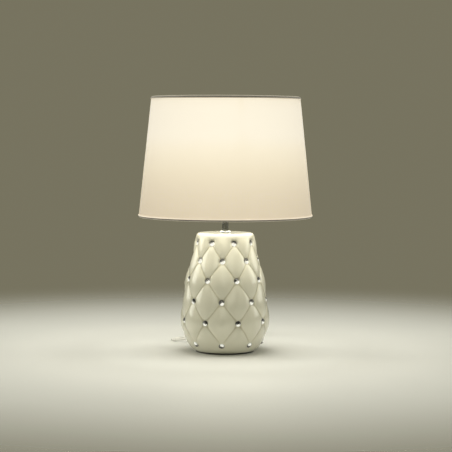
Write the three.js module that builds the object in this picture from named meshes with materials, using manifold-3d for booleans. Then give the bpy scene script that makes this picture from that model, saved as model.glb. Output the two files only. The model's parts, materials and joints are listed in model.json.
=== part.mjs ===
// Table lamp: quilted ceramic base, chrome stem, E27 lampholder, tapered fabric shade on a
// drop spider, flat two-core lead with an inline rocker switch and a two-pin plug.
// Millimetres. +Z is up, the origin is the centre of the underside, and the front faces -Y.
import * as THREE from 'three';
import { mergeVertices } from 'three/addons/utils/BufferGeometryUtils.js';
import Module from 'manifold-3d';

const wasm = await Module();
wasm.setup();

// ---- driving dimensions -------------------------------------------------------------------
const GAP = 0.3; // clearance left between pieces that touch

// Ceramic base: radius of the smooth outer skin at each height, foot to shoulder
const SKIN = [
  [2.3, 49.5], [8, 55.5], [16, 60.8], [27, 66.9], [40, 71.0], [56, 72.0], [75, 70.4],
  [95, 67.6], [115, 64.9], [135, 60.0], [152, 54.9], [167, 51.6], [180, 48.9], [186, 47.2],
];
const BASE_HEIGHT = 192;
const TOP_RADIUS = 40; // flat top inside the rounded shoulder
const FOOT_RADIUS = 47.5;
const FOOT_OPENING = 38;
const TOP_PLATE = 5;
const WALL = 8; // from the smooth skin to the inner wall

// Quilting: rows of crystals at these heights, alternate rows half a pitch round
const ROW_HEIGHTS = [177, 149, 118.5, 85, 52, 16];
const CRYSTALS_PER_ROW = 8;
const EVEN_ROW_ANGLE = -4.7; // degrees to the right of the front, rows 2, 4 and 6
const QUILT_DEPTH = 4.2;
const STEPS_PER_ROW = 3;

// Stem and its fixings
const FELT_THICKNESS = 2;
const FELT_RADIUS = 47;
const STEM_RADIUS = 5;
const STEM_BORE = 4;
const STEM_BOTTOM = 172;
const STEM_TOP = 240;

// Lampholder and bulb, heights above the table
const HOLDER_BOTTOM = 236;
const INSERT_BOTTOM = 248.5;
const INSERT_TOP = 257.5;
const COLLAR_TOP = 264.5;
const SLEEVE_TOP = 287;
const SLEEVE_RADIUS = 19.7;
const BULB_CONTACT = 261;
const BULB_CENTRE = 338;
const BULB_RADIUS = 30;
const BULB_GLASS = 1;
const THREAD_PITCH = 3.63;

// Shade
const SHADE_BOTTOM = 217;
const SHADE_TOP = 410.4;
const SHADE_BOTTOM_RADIUS = 140.3;
const SHADE_TOP_RADIUS = 120;
const FABRIC = 1; // thickness of the fabric and its backing
const RING_WIRE = 1.4; // radius of the steel rings' wire
const ARM_WIRE = 1.5;
const HEM = 4.2; // height of the rolled edge
const HEM_SKIN = 0.5;
const SHADE_SIDES = 54; // flats round the shade
const ARM_ANGLES = [11.5, 131.5, 251.5]; // degrees to the right of the front

// Lead: a flat two-core flex, lying on its broad side
const CORD_WIDTH = 5.4;
const CORD_HEIGHT = 3.4;
const EXIT_ANGLE = 115; // degrees from +X, round to the back
const EXIT_SEAT = 57.5; // flat seat of the exit hole, from the lamp's axis
const EXIT_HEIGHT = 14;
const EXIT_DROP = 8; // degrees below level
const BUSHING_TAIL = 26.5;
const COIL_CENTRE = [29.3, 206];
const COIL_INNER = 25.3;
const COIL_OUTER = 36.1;
const COIL_BOTTOM = 0.9;
const COIL_TOP = 14.5;
const TIE_ANGLE = 215;

// The lead's route, exit to switch, switch to coil, and coil to plug
const LEAD_TO_SWITCH = [
  [-35.5, 76.2, 10.3], [-38.9, 83.6, 9.2], [-43.2, 90.8, 8.2], [-49.6, 96.8, 7.3],
  [-57.8, 99.9, 6.4], [-66.5, 100.9, 5.4], [-75.2, 103.2, 4.1], [-82.6, 108.2, 2.9],
  [-87.6, 115.6, 2.0], [-89.2, 124.4, 1.8], [-87.0, 133.2, 1.8], [-81.6, 140.4, 1.8],
  [-73.8, 144.6, 1.8], [-65.0, 145.6, 2.0], [-56.0, 144.6, 2.9], [-47.5, 143.4, 4.6],
  [-38.6, 143.0, 6.0],
];
const SWITCH_TO_COIL = [
  [38.6, 143.0, 6.0], [45.5, 143.9, 4.6], [52.3, 147.5, 3.1], [57.7, 153.6, 2.2],
  [61.2, 161.8, 1.9], [62.6, 171.0, 2.1], [62.8, 179.5, 2.5], [62.7, 185.6, 2.6],
];
const COIL_TO_PLUG = [
  [28.3, 244.9, 11.2], [19.5, 249.8, 9.4], [10.2, 254.0, 7.0], [0.6, 256.8, 4.4],
  [-9.2, 257.4, 2.5], [-18.6, 255.0, 1.8], [-26.6, 249.4, 1.9], [-32.2, 241.6, 2.9],
  [-35.2, 232.6, 5.0], [-36.0, 222.9, 6.7],
];
const LEAD_INSIDE = [
  [-35.2, 75.4, 10.4], [-24.3, 52.1, 14.0], [-20.1, 43.1, 15.5], [-15.0, 32.2, 18.4],
  [-9.9, 21.2, 25.5], [-4.8, 10.3, 39.0], [-1.2, 2.6, 57.0], [0, 0, 78.0], [0, 0, 115.0],
  [0, 0, 165.0], [0, 0, 205.0], [0, 0, 240.5],
];

// Inline switch and plug
const SWITCH_CENTRE = [0, 143];
const SWITCH_LENGTH = 76.6;
const SWITCH_WIDTH = 27;
const SWITCH_HEIGHT = 20;
const SWITCH_SPLIT = 9.5;
const SWITCH_WALL = 1.8;
const ROCKER_LENGTH = 20;
const ROCKER_WIDTH = 11;
const ROCKER_AXIS = 17.2; // height of the rocker's pin
const ROCKER_TILT = 7; // degrees either side of level
const PLUG_TAIL_TIP = [-36, 222.5, 7];
const PLUG_TAPER = 23;
const PLUG_BODY = 19;
const PLUG_WIDTH = 35.3;
const PLUG_THICKNESS = 13.7;
const PIN_RADIUS = 2;
const PIN_LENGTH = 19;
const PIN_SPACING = 19;

// ---- materials ----------------------------------------------------------------------------
const finish = (color, roughness, metalness = 0) => ({ color, roughness, metalness });
const FINISHES = {
  glaze: finish(0xe9e6d6, 0.18),
  felt: finish(0x2b2a28, 0.95),
  chrome: finish(0xc9cccb, 0.08, 1),
  steel: finish(0x9da0a0, 0.35, 1),
  brass: finish(0xb9965a, 0.3, 1),
  holder: finish(0xe8e4da, 0.35),
  fabric: finish(0xf3ead9, 0.9),
  hem: finish(0xb9ab98, 0.85),
  whiteWire: finish(0xdedbd2, 0.4),
  opalGlass: finish(0xfff6e2, 0.25),
  blackGlass: finish(0x15151a, 0.2),
  lead: finish(0xefece2, 0.45),
  coreBrown: finish(0x4a2a17, 0.5),
  coreBlue: finish(0x2a5f9e, 0.5),
  switchCase: finish(0xf0eee6, 0.4),
  tie: finish(0xdad8d0, 0.5),
};

const lamp = new THREE.Group();

function add(name, geometry, finishName) {
  const mesh = new THREE.Mesh(geometry, new THREE.MeshStandardMaterial(FINISHES[finishName]));
  mesh.name = name;
  lamp.add(mesh);
  return mesh;
}

// ---- geometry helpers ---------------------------------------------------------------------
const rad = THREE.MathUtils.degToRad;

// Turns a closed profile of [radius, height] points, listed anticlockwise, about +Z.
function turned(profile, segments = 32, startAngle = 0) {
  const points = [...profile, profile[0]].map(([r, z]) => new THREE.Vector2(r, z));
  return new THREE.LatheGeometry(points, segments, startAngle).rotateX(Math.PI / 2);
}

const ring = (inner, outer, bottom, top, segments) =>
  turned([[inner, bottom], [outer, bottom], [outer, top], [inner, top]], segments);

// Turns an open profile that starts and ends on the axis.
function turnedSolid(profile, segments = 32) {
  const points = profile.map(([r, z]) => new THREE.Vector2(r, z));
  return new THREE.LatheGeometry(points, segments).rotateX(Math.PI / 2);
}

function circleProfile(radius, height, wire, sides = 8) {
  return Array.from({ length: sides }, (_, i) => {
    const angle = (2 * Math.PI * i) / sides;
    return [radius + wire * Math.cos(angle), height + wire * Math.sin(angle)];
  });
}

const vectors = (points) => points.map((p) => new THREE.Vector3(...p));

// A curve whose cross-section keeps its first axis as near to +Z as it can.
class LevelCurve extends THREE.CatmullRomCurve3 {
  computeFrenetFrames(segments) {
    const up = new THREE.Vector3(0, 0, 1);
    const frames = { tangents: [], normals: [], binormals: [] };
    for (let i = 0; i <= segments; i += 1) {
      const tangent = this.getTangentAt(i / segments);
      const side = new THREE.Vector3().crossVectors(tangent, up).normalize();
      frames.tangents.push(tangent);
      frames.normals.push(new THREE.Vector3().crossVectors(side, tangent));
      frames.binormals.push(side);
    }
    return frames;
  }
}

function ovalShape(halfX, halfY, sides = 8) {
  const points = Array.from({ length: sides }, (_, i) => {
    const angle = (2 * Math.PI * (i + 0.5)) / sides;
    return new THREE.Vector2(halfX * Math.cos(angle), halfY * Math.sin(angle));
  });
  return new THREE.Shape(points);
}

function swept(curve, shape, steps) {
  return new THREE.ExtrudeGeometry(shape, { steps, bevelEnabled: false, extrudePath: curve });
}

// The eight sides' corners lie outside the true oval, so that their flats are at its height.
const cordShape = ovalShape(CORD_HEIGHT / 2 / Math.cos(Math.PI / 8), CORD_WIDTH / 2);
const levelCord = (points, steps) => swept(new LevelCurve(vectors(points)), cordShape, steps);
const wire = (points, radius, steps, sides = 6) =>
  swept(new THREE.CatmullRomCurve3(vectors(points)), ovalShape(radius, radius, sides), steps);

function prism(outline, depth, bevel = 0) {
  const shape = new THREE.Shape(outline.map(([x, y]) => new THREE.Vector2(x, y)));
  const rounded = { bevelThickness: bevel, bevelSize: bevel, bevelOffset: -bevel };
  const options = bevel
    ? { depth: depth - 2 * bevel, bevelEnabled: true, bevelSegments: 2, ...rounded }
    : { depth, bevelEnabled: false };
  return new THREE.ExtrudeGeometry(shape, options).translate(0, 0, bevel);
}

const box = (x0, x1, y0, y1, z0, z1) =>
  new THREE.BoxGeometry(x1 - x0, y1 - y0, z1 - z0)
    .translate((x0 + x1) / 2, (y0 + y1) / 2, (z0 + z1) / 2);

function solid(geometry) {
  const bare = new THREE.BufferGeometry();
  bare.setAttribute('position', geometry.getAttribute('position').clone());
  bare.setIndex(geometry.index);
  const merged = mergeVertices(bare, 1e-4);
  return new wasm.Manifold(new wasm.Mesh({
    numProp: 3,
    vertProperties: new Float32Array(merged.getAttribute('position').array),
    triVerts: new Uint32Array(merged.index.array),
  }));
}

function geometryOf(manifold) {
  const { vertProperties, triVerts } = manifold.getMesh();
  const geometry = new THREE.BufferGeometry();
  geometry.setAttribute('position', new THREE.Float32BufferAttribute(vertProperties, 3));
  geometry.setIndex(new THREE.BufferAttribute(triVerts, 1));
  return geometry;
}

const cut = (geometry, ...tools) =>
  geometryOf(tools.reduce((body, tool) => body.subtract(solid(tool)), solid(geometry)));
const shared = (a, b) => geometryOf(solid(a).intersect(solid(b)));

// ---- ceramic base -------------------------------------------------------------------------
// Smooth curve through a table of [height, value] pairs (a cubic with finite-difference slopes).
function smoothAt(table, height) {
  const last = table.length - 1;
  const slope = (i) => {
    const a = table[Math.max(i - 1, 0)];
    const b = table[Math.min(i + 1, last)];
    return (b[1] - a[1]) / (b[0] - a[0]);
  };
  const clamped = THREE.MathUtils.clamp(height, table[0][0], table[last][0]);
  const i = Math.min(table.findLastIndex(([z]) => z <= clamped), last - 1);
  const [z0, r0] = table[i];
  const [z1, r1] = table[i + 1];
  const span = z1 - z0;
  const t = (clamped - z0) / span;
  const a = 2 * r0 - 2 * r1 + span * (slope(i) + slope(i + 1));
  const b = -3 * r0 + 3 * r1 - span * (2 * slope(i) + slope(i + 1));
  return ((a * t + b) * t + span * slope(i)) * t + r0;
}

// Row number at a height: 1 at the top row of crystals, 6 at the bottom row.
function rowAt(height) {
  const rows = ROW_HEIGHTS;
  const below = rows.findIndex((z) => z <= height);
  const i = THREE.MathUtils.clamp(below < 0 ? rows.length - 1 : below, 1, rows.length - 1);
  return i + (rows[i - 1] - height) / (rows[i - 1] - rows[i]);
}

function heightAt(row) {
  const i = THREE.MathUtils.clamp(Math.floor(row), 1, ROW_HEIGHTS.length - 1);
  return ROW_HEIGHTS[i - 1] + (row - i) * (ROW_HEIGHTS[i] - ROW_HEIGHTS[i - 1]);
}

// 1 on the crest of a cushion, down to 0 at a crystal; the creases run between the crystals.
function quiltHeight(angle, height) {
  const row = rowAt(height);
  const column = (angle - EVEN_ROW_ANGLE) / (180 / CRYSTALS_PER_ROW);
  const a = ((column + row) * Math.PI) / 2;
  const b = ((column - row) * Math.PI) / 2;
  const cushion = Math.sqrt(Math.abs(Math.sin(a) * Math.sin(b)));
  const dimple = 1 - Math.abs(Math.cos(a) * Math.cos(b)) ** 3;
  const above = THREE.MathUtils.smoothstep(row, 0.6, 1);
  const below = 1 - THREE.MathUtils.smoothstep(row, 5.1, 5.85);
  const depth = 1 - (0.68 * cushion + 0.32 * dimple);
  return 1 - depth * above * below;
}

function ceramicBody() {
  const columns = 2 * CRYSTALS_PER_ROW * STEPS_PER_ROW;
  const inner = (z) => smoothAt(SKIN, z) - WALL;
  const profile = [[FOOT_OPENING, FELT_THICKNESS + GAP], [FOOT_RADIUS, FELT_THICKNESS + GAP]];
  const skinStart = profile.length;
  profile.push([smoothAt(SKIN, 4), 4], [smoothAt(SKIN, 9), 9]);
  for (let step = 6 * STEPS_PER_ROW; step >= 3; step -= 1) {
    const z = heightAt(step / STEPS_PER_ROW);
    profile.push([smoothAt(SKIN, z), z]);
  }
  const skinEnd = profile.length;
  profile.push([46, 189], [43.6, 191.2], [TOP_RADIUS, BASE_HEIGHT]);
  profile.push([STEM_RADIUS + GAP, BASE_HEIGHT], [STEM_RADIUS + GAP, BASE_HEIGHT - TOP_PLATE]);
  profile.push([36, BASE_HEIGHT - TOP_PLATE]);
  [180, 150, 110, 56, 24, 12].forEach((z) => profile.push([inner(z), z]));
  const geometry = turned(profile, columns, rad(EVEN_ROW_ANGLE));
  quilt(geometry, profile.length + 1, skinStart, skinEnd);
  const axis = exitAxis();
  const hole = turnedSolid([[0, -30], [4.8, -30], [4.8, 1], [0, 1]], 16).applyMatrix4(axis);
  const seat = turnedSolid([[0, 0], [6.6, 0], [6.6, 14], [0, 14]], 20).applyMatrix4(axis);
  return cut(geometry, hole, seat);
}

// Sinks the outer skin's grid to the quilting, and turns each quad's diagonal along the crease.
function quilt(geometry, perColumn, from, to) {
  const position = geometry.getAttribute('position');
  const radius = (k) => Math.hypot(position.getX(k), position.getY(k));
  for (let k = 0; k < position.count; k += 1) {
    const j = k % perColumn;
    if (j >= from && j < to) {
      const x = position.getX(k);
      const y = position.getY(k);
      const angle = THREE.MathUtils.radToDeg(Math.atan2(x, -y));
      const sunk = QUILT_DEPTH * (1 - quiltHeight(angle, position.getZ(k)));
      const scale = 1 - sunk / radius(k);
      position.setXY(k, x * scale, y * scale);
    }
  }
  const { array } = geometry.index;
  for (let q = 0; q < array.length; q += 6) {
    const [a, b, d, c] = [array[q], array[q + 1], array[q + 2], array[q + 3]];
    if (radius(a) + radius(c) < radius(b) + radius(d)) {
      array.set([a, b, c, a, c, d], q);
    }
  }
}

// Frame of the lead's exit: its origin is the centre of the hole's seat, +Z points out.
function exitAxis() {
  const matrix = new THREE.Matrix4().makeTranslation(
    EXIT_SEAT * Math.cos(rad(EXIT_ANGLE)),
    EXIT_SEAT * Math.sin(rad(EXIT_ANGLE)),
    EXIT_HEIGHT,
  );
  matrix.multiply(new THREE.Matrix4().makeRotationZ(rad(EXIT_ANGLE)));
  return matrix.multiply(new THREE.Matrix4().makeRotationY(rad(90 + EXIT_DROP)));
}

function baseParts() {
  add('ceramic_body', ceramicBody(), 'glaze');
  add('felt_pad', turnedSolid([
    [0, 0], [FELT_RADIUS, 0], [FELT_RADIUS, FELT_THICKNESS], [0, FELT_THICKNESS],
  ], 40), 'felt');
  const bore = STEM_RADIUS + GAP;
  const washer = BASE_HEIGHT + GAP;
  add('neck_washer', turned([
    [bore, washer], [9.5, washer], [9.5, washer + 1.2], [8.4, washer + 2.4],
    [6.6, washer + 3.1], [bore, washer + 3.1],
  ]), 'chrome');
  add('stem_tube', ring(STEM_BORE, STEM_RADIUS, STEM_BOTTOM, STEM_TOP, 32), 'chrome');
  const plate = BASE_HEIGHT - TOP_PLATE - GAP;
  add('inner_washer', ring(bore, 16, plate - 2, plate), 'steel');
  add('lock_washer', ring(bore, 8.8, plate - 4.1, plate - 2 - GAP, 32), 'steel');
  add('inner_nut', hexNut(8.5, 5.5, bore).translate(0, 0, plate - 4.1 - GAP - 5.5), 'steel');
  add('cord_bushing', turned([
    [3.05, -9], [4.5, -9], [4.5, GAP], [6.2, GAP], [6.2, 2], [5.2, 2.6],
    [3.7, BUSHING_TAIL], [3.05, BUSHING_TAIL],
  ], 24).applyMatrix4(exitAxis()), 'lead');
  add('internal_lead', swept(new THREE.CatmullRomCurve3(vectors(LEAD_INSIDE)),
    ovalShape(CORD_HEIGHT / 2, CORD_WIDTH / 2), 26), 'lead');
}

function hexNut(apothem, thickness, bore) {
  const corner = (i) => [
    (apothem / Math.cos(Math.PI / 6)) * Math.cos((Math.PI * i) / 3),
    (apothem / Math.cos(Math.PI / 6)) * Math.sin((Math.PI * i) / 3),
  ];
  const hex = prism([0, 1, 2, 3, 4, 5].map(corner), thickness);
  const hole = turnedSolid([[0, -1], [bore, -1], [bore, thickness + 1], [0, thickness + 1]], 24);
  return cut(hex, hole);
}

// ---- lampholder ---------------------------------------------------------------------------
function holderParts() {
  const bore = STEM_RADIUS + GAP;
  add('holder_cap', turned([
    [bore, HOLDER_BOTTOM], [8.5, HOLDER_BOTTOM], [9, 240], [18.8, 247], [18.8, INSERT_TOP - 0.5],
    [17.2, INSERT_TOP - 0.5], [17.2, 248], [7, 240.6], [bore, 240.6],
  ]), 'holder');
  const terminals = [-8, 8];
  const screwHoles = terminals.map((x) =>
    turnedSolid([[0, 0], [1.5, 0], [1.5, 6], [0, 6]], 12).translate(x, 0, INSERT_BOTTOM - 1));
  const insert = turnedSolid([
    [0, INSERT_BOTTOM], [15.6, INSERT_BOTTOM], [15.6, INSERT_TOP], [0, INSERT_TOP],
  ]);
  add('holder_insert', cut(insert, ...screwHoles), 'holder');
  terminals.forEach((x, i) => {
    const top = INSERT_BOTTOM - GAP;
    add(`terminal_screw_${i + 1}`, turnedSolid([
      [0, top - 2.2], [2.3, top - 2.2], [2.3, top], [1.2, top], [1.2, top + 4], [0, top + 4],
    ], 16).translate(x, 0, 0), 'brass');
    const side = Math.sign(x);
    add(`lead_core_${i + 1}`, wire([
      [side * 1.4, 0, 241], [side * 2.2, 1.2, 243.2], [side * 4.4, 2.6, 244.8],
      [side * 6.6, 3.6, 247.2],
    ], 0.9, 6), i ? 'coreBlue' : 'coreBrown');
  });
  add('holder_contact', centreContact(), 'brass');
  const liner = ridges(13.9, INSERT_TOP + GAP, INSERT_TOP + 25);
  const linerTop = liner[liner.length - 1][1];
  add('holder_screw_shell', turned([
    [14.7, INSERT_TOP + GAP], [14.7, linerTop], ...liner.reverse(),
  ], 24), 'brass');
  const seat = COLLAR_TOP - 2.5;
  add('holder_sleeve', turned([
    [16.2, INSERT_TOP - 4], [16.9, INSERT_TOP - 4], [16.9, INSERT_TOP - 0.2],
    [19, INSERT_TOP - 0.2], [19, seat], [24, seat], [24, COLLAR_TOP], [SLEEVE_RADIUS, COLLAR_TOP],
    [SLEEVE_RADIUS, SLEEVE_TOP - 0.8], [19, SLEEVE_TOP], [15.2, SLEEVE_TOP],
    [15.2, INSERT_TOP + GAP], [16.2, INSERT_TOP + GAP],
  ]), 'holder');
}

// Sprung brass tongue on the insert, bowed up to meet the bulb's contact.
function centreContact() {
  const outline = [
    [-9, 0], [-4, 0], [-2.4, 1.6], [2.4, 1.6], [4, 0], [5, 0], [5, 0.6], [4.4, 0.6],
    [2.7, 2.4], [-2.7, 2.4], [-4.4, 0.6], [-9, 0.6],
  ];
  return prism(outline, 5).rotateX(Math.PI / 2).translate(0, 2.5, INSERT_TOP + GAP);
}

// Thread ridges from bottom to top, as [radius, height] points round a mean radius.
function ridges(radius, bottom, top) {
  const count = 2 * Math.floor((top - bottom) / THREAD_PITCH);
  return Array.from({ length: count + 1 }, (_, i) => [
    radius + (i % 2 ? 0.3 : -0.3), bottom + (i * THREAD_PITCH) / 2,
  ]);
}

// ---- bulb ---------------------------------------------------------------------------------
function bulbParts() {
  const shell = BULB_CONTACT + 5;
  const neck = shell + 22;
  const globe = (radius, steps) => Array.from({ length: steps + 1 }, (_, i) => {
    const angle = rad(90 - (122 * i) / steps);
    return [i ? radius * Math.cos(angle) : 0, BULB_CENTRE + radius * Math.sin(angle)];
  });
  const hip = [[22.3, neck + 27], [18.6, neck + 18], [15.2, neck + 8], [13.6, neck + 1]];
  const outside = [...globe(BULB_RADIUS, 9), ...hip].reverse();
  const inside = [...globe(BULB_RADIUS - BULB_GLASS, 6), [17.4, neck + 18], [12.4, neck + 1]];
  add('bulb_glass', turnedSolid([...inside, ...outside], 28), 'opalGlass');
  const skin = ridges(12.9, shell, neck);
  const skinTop = skin[skin.length - 1][1];
  add('bulb_cap', turned([[12, shell], ...skin, [12, skinTop]], 24), 'steel');
  add('bulb_insulator', turnedSolid([
    [0, BULB_CONTACT + 1.6], [5.4, BULB_CONTACT + 1.6], [12, shell - GAP], [0, shell - GAP],
  ], 32), 'blackGlass');
  add('bulb_contact', turnedSolid([
    [0, BULB_CONTACT], [3.6, BULB_CONTACT], [4.8, BULB_CONTACT + 0.8],
    [4.8, BULB_CONTACT + 1.3], [0, BULB_CONTACT + 1.3],
  ], 24), 'brass');
}

// ---- shade --------------------------------------------------------------------------------
const shadeRadius = (z) => {
  const share = (z - SHADE_BOTTOM) / (SHADE_TOP - SHADE_BOTTOM);
  return THREE.MathUtils.lerp(SHADE_BOTTOM_RADIUS, SHADE_TOP_RADIUS, share);
};

// Points given as [distance outside the fabric, height above the edge]; up is +1 or -1.
const besideEdge = (edge, up, points) =>
  points.map(([out, inward]) => [shadeRadius(edge - up * inward) + out, edge - up * inward]);

// The hem is a channel over the fabric's edge and the ring's wire.
function hem(edge, up) {
  const inside = -FABRIC - 2 * RING_WIRE - 2 * GAP;
  const points = besideEdge(edge, up, [
    [0, HEM], [0, 0], [inside - 2 * HEM_SKIN, 0], [inside - 2 * HEM_SKIN, HEM],
    [inside - HEM_SKIN, HEM], [inside - HEM_SKIN, HEM_SKIN],
    [-HEM_SKIN, HEM_SKIN], [-HEM_SKIN, HEM],
  ]);
  return turned(up > 0 ? points : points.reverse(), SHADE_SIDES);
}

function shadeParts() {
  const skin = HEM_SKIN + GAP; // the fabric lies inside the hem's outer skin
  const low = SHADE_BOTTOM + skin;
  const high = SHADE_TOP - skin;
  add('shade_fabric', turned([
    [shadeRadius(low) - skin - FABRIC, low], [shadeRadius(low) - skin, low],
    [shadeRadius(high) - skin, high], [shadeRadius(high) - skin - FABRIC, high],
  ], SHADE_SIDES), 'fabric');
  const edges = [['top', SHADE_TOP, 1], ['bottom', SHADE_BOTTOM, -1]];
  edges.forEach(([name, edge, up]) => {
    const height = edge - up * (HEM_SKIN + GAP + RING_WIRE);
    const radius = shadeRadius(height) - skin - FABRIC - GAP - RING_WIRE;
    const section = circleProfile(radius, height, RING_WIRE, 6);
    add(`${name}_ring`, turned(section, SHADE_SIDES), 'whiteWire');
    add(`${name}_hem`, hem(edge, up), 'hem');
  });
  const seat = COLLAR_TOP + GAP;
  add('fitter_ring', ring(20.6, 24.6, seat, seat + 2.6, 32), 'whiteWire');
  // Each arm leaves the fitter ring level, runs up inside the shade and meets the top edge level.
  const ringFace = 24.6 + GAP;
  const hemFace = shadeRadius(SHADE_TOP - HEM) - FABRIC - 2 * RING_WIRE - 2 * HEM_SKIN - 4 * GAP;
  const route = [
    [ringFace, seat + 1.1], [29.5, seat + 1.1], [32.5, seat + 3], [35.5, seat + 8],
    [(35.5 + hemFace) / 2, (seat + SHADE_TOP) / 2], [hemFace - 9, SHADE_TOP - 12],
    [hemFace - 6, SHADE_TOP - 6.6], [hemFace - 3, SHADE_TOP - 3.2], [hemFace, SHADE_TOP - 3],
  ];
  ARM_ANGLES.forEach((angle, i) => {
    const arm = wire(route.map(([r, z]) => [r, 0, z]), ARM_WIRE, 24, 6);
    add(`spider_arm_${i + 1}`, arm.rotateZ(rad(angle - 90)), 'whiteWire');
  });
  const clamp = seat + 2.6 + GAP;
  add('shade_ring', turned([
    [SLEEVE_RADIUS + GAP, clamp], [24.2, clamp], [28.5, clamp + 3.4], [28.5, clamp + 4.6],
    [27.3, clamp + 5.2], [24, clamp + 3.6], [22.4, clamp + 4.4], [22.4, clamp + 8.5],
    [SLEEVE_RADIUS + GAP, clamp + 8.5],
  ]), 'holder');
}

// ---- lead, switch and plug ----------------------------------------------------------------
function leadParts() {
  add('cord_lead', levelCord(LEAD_TO_SWITCH, 20), 'lead');
  add('cord_link', levelCord(SWITCH_TO_COIL, 9), 'lead');
  add('cord_tail', levelCord(COIL_TO_PLUG, 14), 'lead');
  const soft = 1.4;
  add('cord_coil', turned([
    [COIL_INNER + soft, COIL_BOTTOM], [COIL_OUTER - soft, COIL_BOTTOM],
    [COIL_OUTER, COIL_BOTTOM + soft], [COIL_OUTER, COIL_TOP - soft],
    [COIL_OUTER - soft, COIL_TOP], [COIL_INNER + soft, COIL_TOP],
    [COIL_INNER, COIL_TOP - soft], [COIL_INNER, COIL_BOTTOM + soft],
  ]).translate(...COIL_CENTRE, 0), 'lead');
  const band = 0.5;
  const [x0, x1] = [COIL_INNER - GAP, COIL_OUTER + GAP];
  const loop = cut(
    box(x0 - band, x1 + band, -3, 3, 0, COIL_TOP + GAP + band),
    box(x0, x1, -4, 4, band, COIL_TOP + GAP),
  );
  add('cord_tie', loop.rotateZ(rad(TIE_ANGLE)).translate(...COIL_CENTRE, 0), 'tie');
}

// Outline of one quarter mirrored to all four, from [half length, half width] points.
const mirrored = (quarter) => [
  ...quarter.map(([x, y]) => [x, -y]).reverse(),
  ...quarter,
  ...quarter.map(([x, y]) => [-x, y]).reverse(),
  ...quarter.map(([x, y]) => [-x, -y]),
];

function switchParts() {
  const half = SWITCH_LENGTH / 2;
  const wide = SWITCH_WIDTH / 2;
  const outline = (inset) => mirrored([
    [half - inset, 4.6 - inset], [half - 4, 5.6 - inset], [half - 14, wide - 1.4 - inset],
    [half - 20, wide - inset],
  ]);
  const side = [
    [-half, 3.2], [-half + 3, 0.4], [-half + 10, 0], [half - 10, 0], [half - 3, 0.4],
    [half, 3.2], [half, 10.2], [half - 12, 15.6], [14, SWITCH_HEIGHT], [-14, SWITCH_HEIGHT],
    [-half + 12, 15.6], [-half, 10.2],
  ];
  const plan = prism(outline(0), SWITCH_HEIGHT + 1);
  const profile = prism(side, SWITCH_WIDTH + 2).rotateX(Math.PI / 2).translate(0, wide + 1, 0);
  const form = shared(plan, profile);
  const hollow = prism(outline(SWITCH_WALL + 1.4), SWITCH_HEIGHT - 5.4).translate(0, 0, 2.2);
  const entry = box(-half - 1, half + 1, -3, 3, 6 - 2.1, 6 + 2.1);
  const shell = cut(form, hollow, entry);
  const posts = [-22, 22];
  const screwHole = (x) => turnedSolid([
    [0, -1], [3, -1], [3, 1.9], [1.6, 1.9], [1.6, 8], [0, 8],
  ], 12).translate(x, 7, 0);
  const slab = (bottom, top) => box(-half - 1, half + 1, -wide - 1, wide + 1, bottom, top);
  const window = box(-ROCKER_LENGTH / 2 - 0.6, ROCKER_LENGTH / 2 + 0.6,
    -ROCKER_WIDTH / 2 - 0.5, ROCKER_WIDTH / 2 + 0.5, 12, SWITCH_HEIGHT + 2);
  const pinHole = (radius, length) => turnedSolid([
    [0, -length / 2], [radius, -length / 2], [radius, length / 2], [0, length / 2],
  ], 16).rotateX(Math.PI / 2).translate(0, 0, ROCKER_AXIS);
  const at = (geometry) => geometry.translate(...SWITCH_CENTRE, 0);
  const lower = shared(shell, slab(-1, SWITCH_SPLIT));
  add('switch_lower_case', at(cut(lower, ...posts.map(screwHole))), 'switchCase');
  const upper = shared(shell, slab(SWITCH_SPLIT + GAP, SWITCH_HEIGHT + 2));
  add('switch_upper_case', at(cut(upper, window, pinHole(1.3, 15))), 'switchCase');
  posts.forEach((x, i) => {
    const screw = turnedSolid([
      [0, 0.4], [2.6, 0.4], [2.6, 1.6], [1.3, 1.6], [1.3, 8], [0, 8],
    ], 12).translate(x, 7, 0);
    add(`switch_screw_${i + 1}`, at(screw), 'steel');
  });
  add('rocker_pin', at(pinHole(1, 14.4)), 'steel');
  add('switch_rocker', at(rocker(pinHole(1.3, 20))), 'switchCase');
  [0, Math.PI].forEach((turn, i) => {
    const blade = prism([[8, -2.5], [17, -2.5], [17, 2.5], [8, 2.5]], 0.8);
    add(`switch_blade_${i + 1}`, at(blade.rotateZ(turn).translate(0, 0, 9)), 'brass');
  });
}

// The rocker's top is a shallow V, so that the side that is pressed lies level with the case.
function rocker(hole) {
  const half = ROCKER_LENGTH / 2 - 0.2;
  const rise = Math.tan(rad(ROCKER_TILT)) * half;
  const outline = [
    [-half, -1.6], [-3, -4.2], [3, -4.2], [half, -1.6], [half, 2.6 + rise], [0, 2.6],
    [-half, 2.6 + rise],
  ];
  const body = prism(outline, ROCKER_WIDTH).rotateX(Math.PI / 2)
    .translate(0, ROCKER_WIDTH / 2, 0)
    .rotateY(rad(-ROCKER_TILT))
    .translate(0, 0, ROCKER_AXIS);
  return cut(body, hole);
}

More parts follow.
